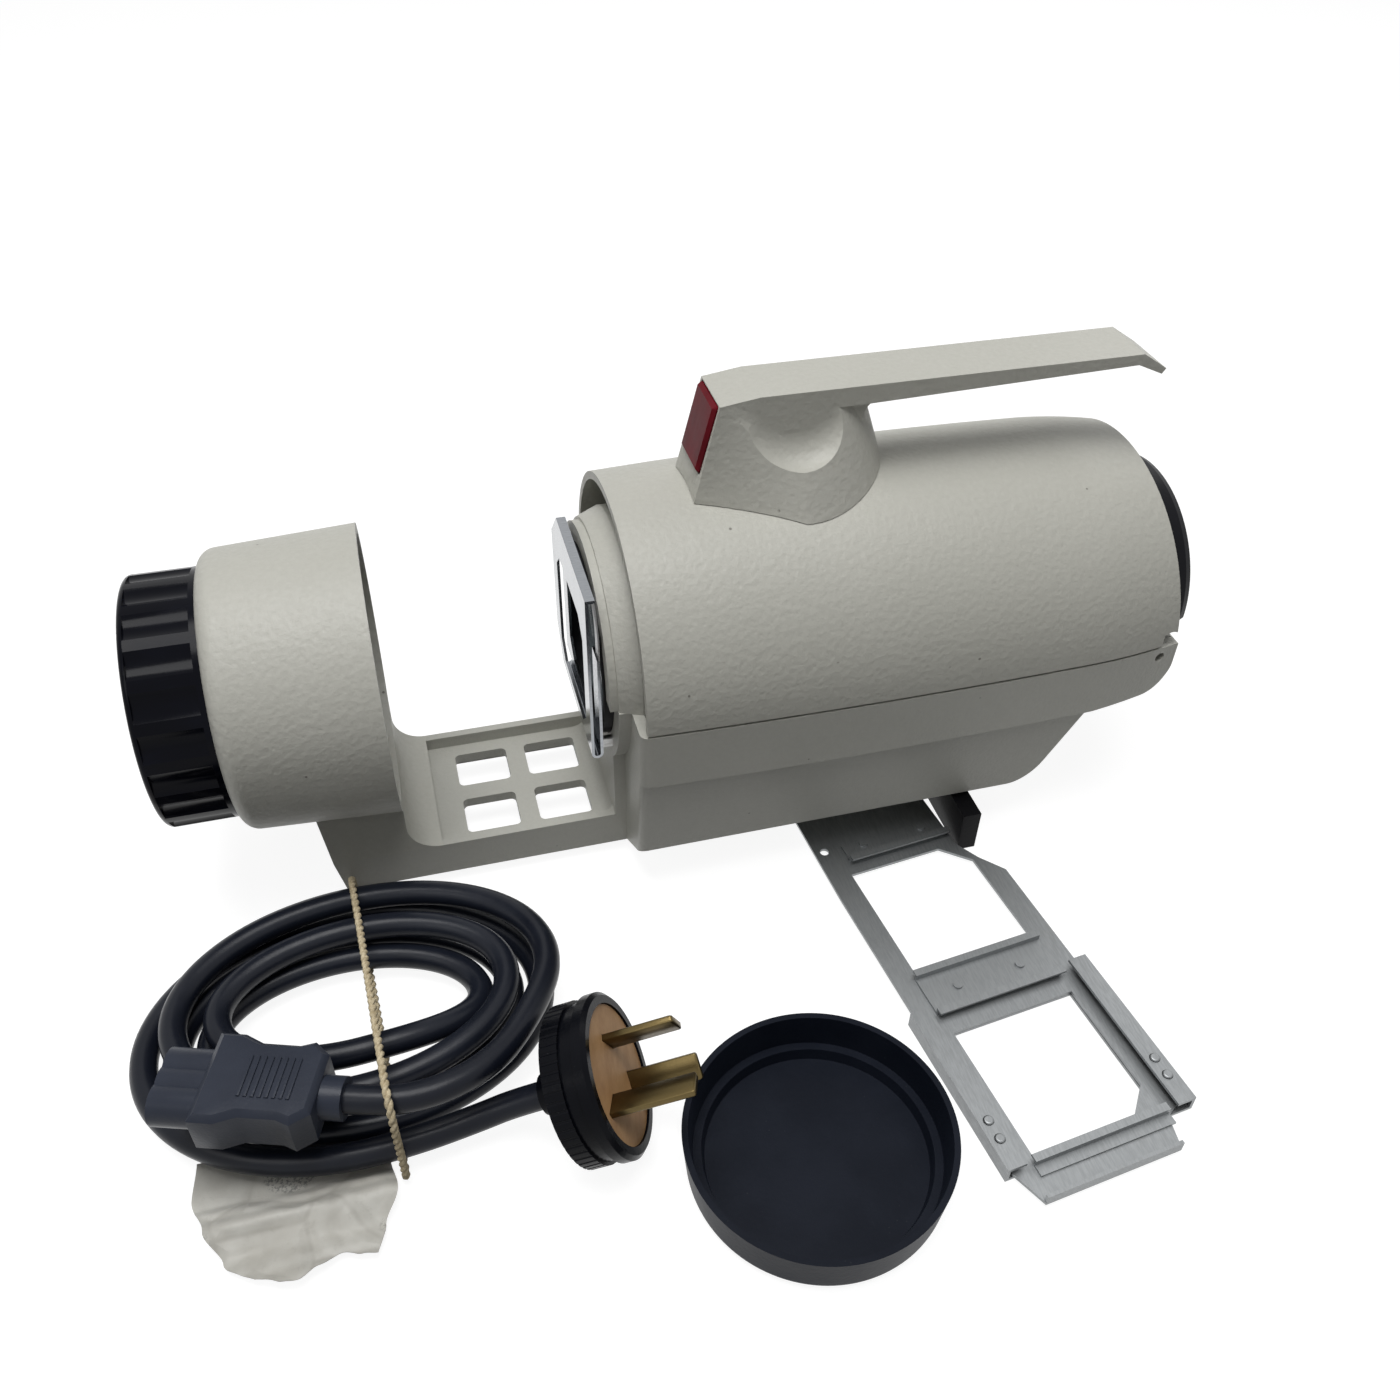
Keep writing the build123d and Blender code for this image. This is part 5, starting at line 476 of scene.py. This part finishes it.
def turned_pins(name, node, slot):
    """The plug's board or blades, turned about its axis to the photographed angle."""
    made = merged_copy(name, node)
    turn = Matrix.Translation(PLUG_AT) @ Matrix.Rotation(PINS_TURN, 4, plug_out)
    turn = turn @ Matrix.Translation(-PLUG_AT)
    edit_mesh(made, lambda mesh: bmesh.ops.transform(mesh, matrix=turn, verts=mesh.verts))
    stand_in(made, "base", slot, node)
    return made


handle_shell = make_handle_shell()
plug_board = turned_pins("plug_board", "plug_face", "paper_board")
smooth_by(plug_board, SMOOTH_SOFT)
blades = turned_pins("blades", "plug_blades", "brass")
soften(blades)
connector_shell = soften(merged_copy("connector_shell", "connector"))
stand_in(connector_shell, "base", "cord_sheath", "connector")

# Shader maths on sockets


class Value:
    """A shader socket; sums and products of it add Math nodes."""

    def __init__(self, finish, socket):
        self.finish = finish
        self.socket = socket

    def maths(self, operation, first, second):
        return self.finish.node("ShaderNodeMath", {"operation": operation}, {0: first, 1: second})

    def __add__(self, other):
        return self.maths("ADD", self, other)

    def __radd__(self, other):
        return self.maths("ADD", other, self)

    def __mul__(self, other):
        return self.maths("MULTIPLY", self, other)

    def __rmul__(self, other):
        return self.maths("MULTIPLY", other, self)

    def ramp(self, low, high):
        """0 at low, 1 at high and smooth between; low may be the larger."""
        ends = (0.0, 1.0) if low < high else (1.0, 0.0)
        sockets = {
            "Value": self,
            "From Min": min(low, high),
            "From Max": max(low, high),
            "To Min": ends[0],
            "To Max": ends[1],
        }
        return self.finish.node("ShaderNodeMapRange", {"interpolation_type": "SMOOTHSTEP"}, sockets)


class Finish:
    """One procedural material on object coordinates."""

    def __init__(self, name):
        self.material = bpy.data.materials.new(name)
        self.material.use_nodes = True
        self.tree = self.material.node_tree
        self.tree.nodes.clear()
        self.shader = self.tree.nodes.new("ShaderNodeBsdfPrincipled")
        output = self.tree.nodes.new("ShaderNodeOutputMaterial")
        self.tree.links.new(self.shader.outputs[0], output.inputs[0])
        self.place = self.node("ShaderNodeTexCoord", {}, {}, "Object")
        self.normal = None

    def node(self, kind, settings, sockets, result=0):
        """Add a node: its settings first, then the values or links of its sockets."""
        made = self.tree.nodes.new(kind)
        for name, setting in settings.items():
            setattr(made, name, setting)
        for name, value in sockets.items():
            self.feed(made.inputs[name], value)
        return Value(self, made.outputs[result])

    def feed(self, socket, value):
        if isinstance(value, Value):
            self.tree.links.new(value.socket, socket)
        elif isinstance(value, tuple) and len(socket.default_value) == 4:
            socket.default_value = (*value, 1)
        else:
            socket.default_value = value

    def stretched(self, scale):
        if scale is None:
            return self.place
        return self.node("ShaderNodeMapping", {}, {0: self.place, "Scale": scale})

    def noise(self, scale, detail=3.0, rough=0.55, stretch=None):
        sockets = {
            "Vector": self.stretched(stretch),
            "Scale": scale,
            "Detail": detail,
            "Roughness": rough,
        }
        return self.node("ShaderNodeTexNoise", {}, sockets, "Fac")

    def cells(self, scale, feature="F1", spread=1.0):
        sockets = {"Vector": self.place, "Scale": scale, "Randomness": spread}
        return self.node("ShaderNodeTexVoronoi", {"feature": feature}, sockets, "Distance")

    def mix(self, share, first, second):
        settings = {"data_type": "RGBA", "clamp_factor": True}
        return self.node("ShaderNodeMix", settings, {0: share, 6: first, 7: second}, 2)

    def put(self, **sockets):
        for name, value in sockets.items():
            self.feed(self.shader.inputs[name.replace("_", " ")], value)

    def bump(self, height, depth, strength=1.0):
        sockets = {"Strength": strength, "Distance": depth, "Height": height}
        if self.normal:
            sockets["Normal"] = self.normal
        self.normal = self.node("ShaderNodeBump", {}, sockets)
        self.put(Normal=self.normal)


# Materials


def enamel():
    """Warm grey enamel over a fine leather-like grain, a little stained."""
    m = Finish("textured_enamel")
    wide = m.noise(9.0, 3)
    patch = m.noise(46.0, 4, 0.6)
    fine = m.noise(700.0, 2)
    body = m.mix(wide.ramp(0.3, 0.7), (0.475, 0.470, 0.420), (0.515, 0.508, 0.458))
    body = m.mix(fine.ramp(0.25, 0.75) * 0.22, body, (0.40, 0.395, 0.35))
    stain = patch.ramp(0.66, 0.80) * m.noise(17.0, 2).ramp(0.55, 0.68)
    body = m.mix(stain * 0.6, body, (0.42, 0.36, 0.25))
    speck = m.cells(150.0).ramp(0.075, 0.045) * m.noise(60.0, 1).ramp(0.60, 0.66)
    body = m.mix(speck * 0.75, body, (0.10, 0.09, 0.075))
    m.put(Base_Color=body)
    m.put(Roughness=fine * 0.16 + 0.40)
    m.put(Specular_IOR_Level=0.42)
    grain = m.cells(620.0, "SMOOTH_F1") * 0.7 + m.noise(1150.0, 3, 0.6) * 0.5
    m.bump(grain, 0.00028, 0.7)
    m.bump(m.noise(260.0, 2), 0.00012, 0.16)
    return m.material


def casting_enamel():
    """The same enamel on the cast base: a flatter grain."""
    m = Finish("cast_enamel")
    wide = m.noise(11.0, 3)
    fine = m.noise(800.0, 2)
    body = m.mix(wide.ramp(0.3, 0.7), (0.455, 0.452, 0.408), (0.50, 0.495, 0.448))
    body = m.mix(fine.ramp(0.25, 0.75) * 0.2, body, (0.385, 0.38, 0.34))
    rub = m.noise(38.0, 5, 0.7).ramp(0.70, 0.80)
    body = m.mix(rub * 0.35, body, (0.33, 0.31, 0.26))
    speck = m.cells(170.0).ramp(0.07, 0.04) * m.noise(70.0, 1).ramp(0.60, 0.66)
    body = m.mix(speck * 0.7, body, (0.09, 0.085, 0.07))
    m.put(Base_Color=body)
    m.put(Roughness=fine * 0.14 + 0.36)
    m.put(Specular_IOR_Level=0.45)
    m.bump(m.noise(1000.0, 3, 0.6), 0.00026, 0.65)
    m.bump(m.noise(90.0, 2), 0.0003, 0.25)
    return m.material


def gloss_black():
    """Polished phenolic, blue-black, with finger smears and a little dust."""
    m = Finish("gloss_black")
    smear = m.noise(34.0, 4, 0.6, stretch=(1.0, 2.6, 2.6))
    dust = m.cells(420.0).ramp(0.10, 0.05) * m.noise(90.0, 2).ramp(0.52, 0.62)
    body = m.mix(smear.ramp(0.4, 0.75), (0.0010, 0.0013, 0.0040), (0.0024, 0.0030, 0.0075))
    m.put(Base_Color=m.mix(dust * 0.07, body, (0.14, 0.14, 0.14)))
    m.put(Roughness=smear.ramp(0.35, 0.8) * 0.14 + 0.12)
    m.put(Specular_IOR_Level=0.075)
    m.bump(m.noise(240.0, 2), 0.00005, 0.25)
    return m.material


def dull_black(name, tone, rough, grain=900.0, shine=0.075):
    """Dark blue-grey moulding or black paint with fine grain, dust and light scuffs."""
    m = Finish(name)
    cloud = m.noise(40.0, 4, 0.6)
    dust = m.cells(520.0).ramp(0.12, 0.05) * m.noise(70.0, 3).ramp(0.50, 0.66)
    scuff = m.noise(150.0, 4, 0.7, stretch=(1.0, 0.22, 1.0)).ramp(0.66, 0.78)
    pale = tuple(channel * 1.5 + 0.003 for channel in tone)
    body = m.mix(cloud.ramp(0.35, 0.7) * 0.55, tone, pale)
    body = m.mix(scuff * 0.25, body, tuple(channel * 2 + 0.015 for channel in tone))
    m.put(Base_Color=m.mix(dust * 0.10, body, (0.13, 0.13, 0.13)))
    m.put(Roughness=cloud * 0.2 + (rough - 0.1))
    m.put(Specular_IOR_Level=shine)
    m.bump(m.noise(grain, 3, 0.6), 0.00009, 0.5)
    return m.material


def sheath():
    """Mains lead sheath: smooth, dark blue-grey, faintly mottled."""
    m = Finish("sheath")
    cloud = m.noise(26.0, 4, 0.6)
    fine = m.noise(420.0, 3, 0.6)
    body = m.mix(cloud.ramp(0.32, 0.7), (0.0062, 0.0078, 0.0135), (0.0120, 0.0145, 0.0225))
    chalk = m.noise(110.0, 4, 0.7).ramp(0.62, 0.80)
    m.put(Base_Color=m.mix(chalk * 0.14, body, (0.09, 0.095, 0.11)))
    m.put(Roughness=fine * 0.16 + 0.24)
    m.put(Specular_IOR_Level=0.20)
    m.bump(fine, 0.00006, 0.4)
    m.bump(m.noise(75.0, 2), 0.00025, 0.3)
    return m.material


ROLLED = (1.0, 12.0, 12.0)
TARNISH = (0.20, 0.19, 0.17)


def metal(name, tone, rough, stretch=ROLLED, grain=260.0, tarnish=TARNISH, share=0.25):
    """Bare or plated metal with rolling lines, cloudiness and slight tarnish."""
    m = Finish(name)
    line = m.noise(grain, 3, 0.6, stretch=stretch)
    cloud = m.noise(45.0, 4, 0.65)
    dull = tuple(channel * 0.72 for channel in tone)
    body = m.mix(line.ramp(0.3, 0.7) * 0.6, tone, dull)
    m.put(Base_Color=m.mix(cloud.ramp(0.58, 0.80) * share, body, tarnish))
    m.put(Metallic=1.0)
    m.put(Roughness=line * 0.14 + cloud * 0.12 + (rough - 0.12))
    m.bump(line, 0.00004, 0.35)
    return m.material


def clear_glass(name, tone, alpha=0.32):
    """Tinted glass under a thin uneven film."""
    m = Finish(name)
    film = m.noise(60.0, 3)
    filmed = tuple(channel * 0.85 for channel in tone)
    m.put(Base_Color=m.mix(film.ramp(0.4, 0.7) * 0.3, tone, filmed))
    m.put(Roughness=film * 0.05 + 0.02)
    m.put(IOR=1.5)
    m.put(Alpha=film * 0.05 + alpha)
    m.bump(film, 0.00002, 0.1)
    return m.material


def red_button():
    """Deep red moulding with a fine linen-like grain."""
    m = Finish("red_button")
    warp = m.noise(300.0, 2, 0.5, stretch=(1.0, 1.0, 0.25))
    weave = warp + m.noise(300.0, 2, 0.5, stretch=(1.0, 0.25, 1.0))
    cloud = m.noise(90.0, 3)
    body = m.mix(cloud.ramp(0.3, 0.7), (0.105, 0.0055, 0.0100), (0.150, 0.0090, 0.0160))
    threads = (weave * 0.5).ramp(0.45, 0.6)
    m.put(Base_Color=m.mix(threads * 0.35, body, (0.065, 0.003, 0.006)))
    m.put(Roughness=cloud * 0.2 + 0.32)
    m.put(Specular_IOR_Level=0.06)
    m.bump(weave, 0.00012, 0.4)
    return m.material


def fibre_board():
    """Pressed brown board on the plug's face, darker in cloudy patches."""
    m = Finish("fibre_board")
    fibre = m.noise(240.0, 4, 0.65, stretch=(1.0, 0.4, 1.0))
    cloud = m.noise(70.0, 3)
    body = m.mix(fibre.ramp(0.3, 0.7), (0.36, 0.195, 0.080), (0.46, 0.270, 0.125))
    body = m.mix(cloud.ramp(0.55, 0.75) * 0.5, body, (0.26, 0.13, 0.06))
    m.put(Base_Color=body)
    m.put(Roughness=0.62)
    m.bump(fibre, 0.0001, 0.5)
    return m.material


def twine_fibre():
    """Pale tan fibre."""
    m = Finish("twine_fibre")
    fibre = m.noise(900.0, 4, 0.7)
    m.put(Base_Color=m.mix(fibre.ramp(0.3, 0.7), (0.40, 0.32, 0.190), (0.72, 0.62, 0.430)))
    m.put(Roughness=0.85)
    m.bump(fibre, 0.0003, 0.8)
    return m.material


def crumpled_paper():
    """Thin paper with painted shade along its creases, and worn grey in patches."""
    m = Finish("crumpled_paper")
    crease = m.cells(55.0, "DISTANCE_TO_EDGE", spread=0.9)
    fine = m.noise(300.0, 4, 0.7)
    cloud = m.noise(60.0, 4, 0.6)
    body = m.mix(cloud.ramp(0.3, 0.75), (0.46, 0.445, 0.40), (0.60, 0.59, 0.545))
    # Painted shade: the colour darkens along the crease lines, where the folds fall into shadow.
    body = m.mix(crease.ramp(0.05, 0.0) * 0.25, body, (0.25, 0.235, 0.20))
    worn = m.noise(1300.0, 3, 0.7).ramp(0.50, 0.56) * m.noise(38.0, 1).ramp(0.54, 0.58)
    body = m.mix(worn * 0.6, body, (0.09, 0.09, 0.09))
    m.put(Base_Color=m.mix(fine.ramp(0.55, 0.8) * 0.3, body, (0.26, 0.245, 0.21)))
    m.put(Roughness=0.55)
    m.bump(crease.ramp(0.0, 0.16), 0.0009, 0.6)
    m.bump(fine, 0.0002, 0.4)
    return m.material


def ceramic():
    """Glazed cream ceramic."""
    m = Finish("ceramic")
    cloud = m.noise(120.0, 3)
    m.put(Base_Color=m.mix(cloud.ramp(0.3, 0.7), (0.64, 0.60, 0.52), (0.76, 0.73, 0.66)))
    m.put(Roughness=cloud * 0.2 + 0.2)
    m.bump(cloud, 0.0001, 0.3)
    return m.material


def mirror():
    """Silvered surface, slightly clouded."""
    m = Finish("silvered")
    cloud = m.noise(80.0, 3)
    m.put(Base_Color=m.mix(cloud.ramp(0.4, 0.8) * 0.4, (0.86, 0.86, 0.85), (0.66, 0.66, 0.64)))
    m.put(Metallic=1.0)
    m.put(Roughness=cloud * 0.08 + 0.03)
    return m.material


ENAMEL = enamel()
CAST = casting_enamel()
GLOSS = gloss_black()
ANODISED = dull_black("anodised_black", (0.008, 0.008, 0.009), 0.42)
SHEET_BLACK = dull_black("painted_sheet", (0.005, 0.005, 0.006), 0.36)
MOULDED = dull_black("moulded_black", (0.005, 0.005, 0.007), 0.34)
CAP = dull_black("cap_moulding", (0.0070, 0.0090, 0.0150), 0.42)
PLUG = dull_black("plug_moulding", (0.0022, 0.0026, 0.0045), 0.24)
CONNECTOR = dull_black("connector_moulding", (0.0190, 0.0235, 0.0370), 0.34, 1400.0, 0.2)
RUBBER = dull_black("pad_rubber", (0.0035, 0.0035, 0.0038), 0.6)
SHEATH = sheath()
ZINC = metal("zinc_plate", (0.56, 0.56, 0.55), 0.34)
CHROME = metal("chromed", (0.34, 0.355, 0.375), 0.16, tarnish=(0.10, 0.105, 0.115), share=0.45)
SPRING = metal("spring_strip", (0.44, 0.44, 0.44), 0.3)
SATIN = metal("satin_aluminium", (0.285, 0.296, 0.302), 0.46, stretch=(8.0, 1.0, 8.0), share=0.22)
MILL = metal("mill_aluminium", (0.60, 0.60, 0.60), 0.38)
BRASS = metal(
    "dull_brass", (0.135, 0.100, 0.043), 0.30, grain=500.0, tarnish=(0.038, 0.029, 0.016), share=0.8
)
LENS = clear_glass("coated_lens", (0.70, 0.80, 0.84))
HEAT = clear_glass("heat_absorbing", (0.36, 0.62, 0.56), alpha=0.5)
LAMP = clear_glass("lamp_envelope", (0.90, 0.90, 0.88), alpha=0.28)
RED = red_button()
BOARD = fibre_board()
TWINE = twine_fibre()
PAPER = crumpled_paper()
CERAMIC = ceramic()
SILVER = mirror()

NODE_FINISHES = {
    "lens_mount": ENAMEL, "focus_ring": GLOSS, "lens_guide": ANODISED, "lens_tube": ANODISED,
    "front_lens": LENS, "rear_lens": LENS, "lens_retainer": ANODISED, "base_casting": CAST,
    "lamp_cover": ENAMEL, "hinge_brackets": ZINC, "hinge_pins": ZINC, "handle": ENAMEL,
    "release_button": RED, "cover_catch": ZINC, "catch_keeper": ZINC, "slide_gate": CHROME,
    "gate_posts": ZINC, "gate_spring": SPRING, "condenser_hood": ENAMEL, "condenser_barrel": ANODISED,
    "front_condenser": LENS, "rear_condenser": LENS, "heat_glass": HEAT, "lamp_socket": CERAMIC,
    "lamp_cap": BRASS, "lamp_bulb": LAMP, "reflector": SILVER, "reflector_bracket": ZINC,
    "lamp_deck": MILL, "heat_baffle": MILL, "fan_cowl": MOULDED, "motor_bracket": ZINC,
    "fan_motor": ZINC, "fan_wheel": MILL, "cowl_screws": ZINC, "rear_foot": SHEET_BLACK,
    "foot_screws": ZINC, "front_pads": RUBBER, "mount_screws": ZINC, "handle_screws": ZINC,
    "mains_inlet": MOULDED, "inlet_pins": CHROME, "switch_body": MOULDED, "switch_rocker": MOULDED,
    "changer_frame": SATIN, "changer_rivets": SATIN, "changer_springs": SPRING,
    "changer_carriage": SATIN, "changer_rails": SATIN, "rail_rivets": SATIN, "lens_cap": CAP,
    "plug_body": PLUG, "plug_face": BOARD, "plug_blades": BRASS, "connector": CONNECTOR,
    "twine_tie": TWINE, "paper_tag": PAPER,
}


def dress(made, material):
    """Give a piece one material."""
    made.data.materials.clear()
    made.data.materials.append(material)


for node, material in NODE_FINISHES.items():
    dress(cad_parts[node], material)
dress(mains_lead, SHEATH)
dress(twine, TWINE)
dress(tag, PAPER)
dress(handle_shell, ENAMEL)
dress(plug_board, BOARD)
dress(blades, BRASS)
dress(connector_shell, CONNECTOR)

# Floor and light

FLOOR_TONE = (0.26, 0.26, 0.257)
FLOOR_GLOW = 0.90
FLOOR_SIDE = 24
FLOOR_DROP = 0.0003
WORLD_TONE = (0.96, 0.98, 1.0)
WORLD_SOFT = 0.125


def seen_directly(tree):
    """1 for rays from the camera, or by way of a shine or through glass, else 0."""
    path = tree.nodes.new("ShaderNodeLightPath")
    total = path.outputs["Is Camera Ray"]
    for kind in ("Is Glossy Ray", "Is Transmission Ray"):
        both = tree.nodes.new("ShaderNodeMath")
        both.operation = "MAXIMUM"
        tree.links.new(total, both.inputs[0])
        tree.links.new(path.outputs[kind], both.inputs[1])
        total = both.outputs[0]
    return total


def backdrop_material():
    """Pale floor that is seen as near white, with the object's shadow kept."""
    made = bpy.data.materials.new("pale_floor")
    made.use_nodes = True
    tree = made.node_tree
    tree.nodes.clear()
    plain = tree.nodes.new("ShaderNodeBsdfDiffuse")
    plain.inputs[0].default_value = (*FLOOR_TONE, 1)
    glow = tree.nodes.new("ShaderNodeEmission")
    glow.inputs[1].default_value = FLOOR_GLOW
    both = tree.nodes.new("ShaderNodeAddShader")
    tree.links.new(plain.outputs[0], both.inputs[0])
    tree.links.new(glow.outputs[0], both.inputs[1])
    choice = tree.nodes.new("ShaderNodeMixShader")
    tree.links.new(seen_directly(tree), choice.inputs[0])
    tree.links.new(plain.outputs[0], choice.inputs[1])
    tree.links.new(both.outputs[0], choice.inputs[2])
    output = tree.nodes.new("ShaderNodeOutputMaterial")
    tree.links.new(choice.outputs[0], output.inputs[0])
    return made


def spread_floor(mesh):
    for corner in mesh.verts:
        corner.co = (corner.co.x * FLOOR_SIDE, corner.co.y * FLOOR_SIDE, -FLOOR_DROP)


def make_stage():
    """One wide floor just under the feet."""
    bpy.ops.mesh.primitive_plane_add(size=1)
    floor = fresh("floor", bpy.context.object)
    edit_mesh(floor, spread_floor)
    dress(floor, backdrop_material())


def area_light(name, at, towards, size, power):
    """A rectangular lamp that faces a point; its power is in watts."""
    data = bpy.data.lights.new(name, "AREA")
    data.shape = "RECTANGLE"
    data.size, data.size_y = size
    data.energy = power
    made = bpy.data.objects.new(name, data)
    bpy.context.scene.collection.objects.link(made)
    made.location = at
    made.rotation_euler = (Vector(towards) - Vector(at)).to_track_quat("-Z", "Y").to_euler()


def make_world():
    """Soft grey light for the object, seen as plain white."""
    world = bpy.data.worlds.new("studio")
    bpy.context.scene.world = world
    world.use_nodes = True
    tree = world.node_tree
    tree.nodes.clear()
    soft = tree.nodes.new("ShaderNodeBackground")
    soft.inputs[0].default_value = (*WORLD_TONE, 1)
    soft.inputs[1].default_value = WORLD_SOFT
    white = tree.nodes.new("ShaderNodeBackground")
    white.inputs[0].default_value = (1, 1, 1, 1)
    choice = tree.nodes.new("ShaderNodeMixShader")
    tree.links.new(seen_directly(tree), choice.inputs[0])
    tree.links.new(soft.outputs[0], choice.inputs[1])
    tree.links.new(white.outputs[0], choice.inputs[2])
    output = tree.nodes.new("ShaderNodeOutputWorld")
    tree.links.new(choice.outputs[0], output.inputs[0])


make_stage()
area_light("overhead", (-0.20, -0.10, 1.15), (-0.08, 0, 0), (0.8, 0.5), 10.0)
area_light("front_left", (-0.85, -0.55, 0.95), (-0.1, 0, 0.05), (0.5, 0.5), 1.5)
area_light("rear_right", (0.8, 0.7, 0.8), (0, 0, 0.06), (0.5, 0.5), 1.2)
make_world()
bpy.context.scene.view_settings.view_transform = "Standard"
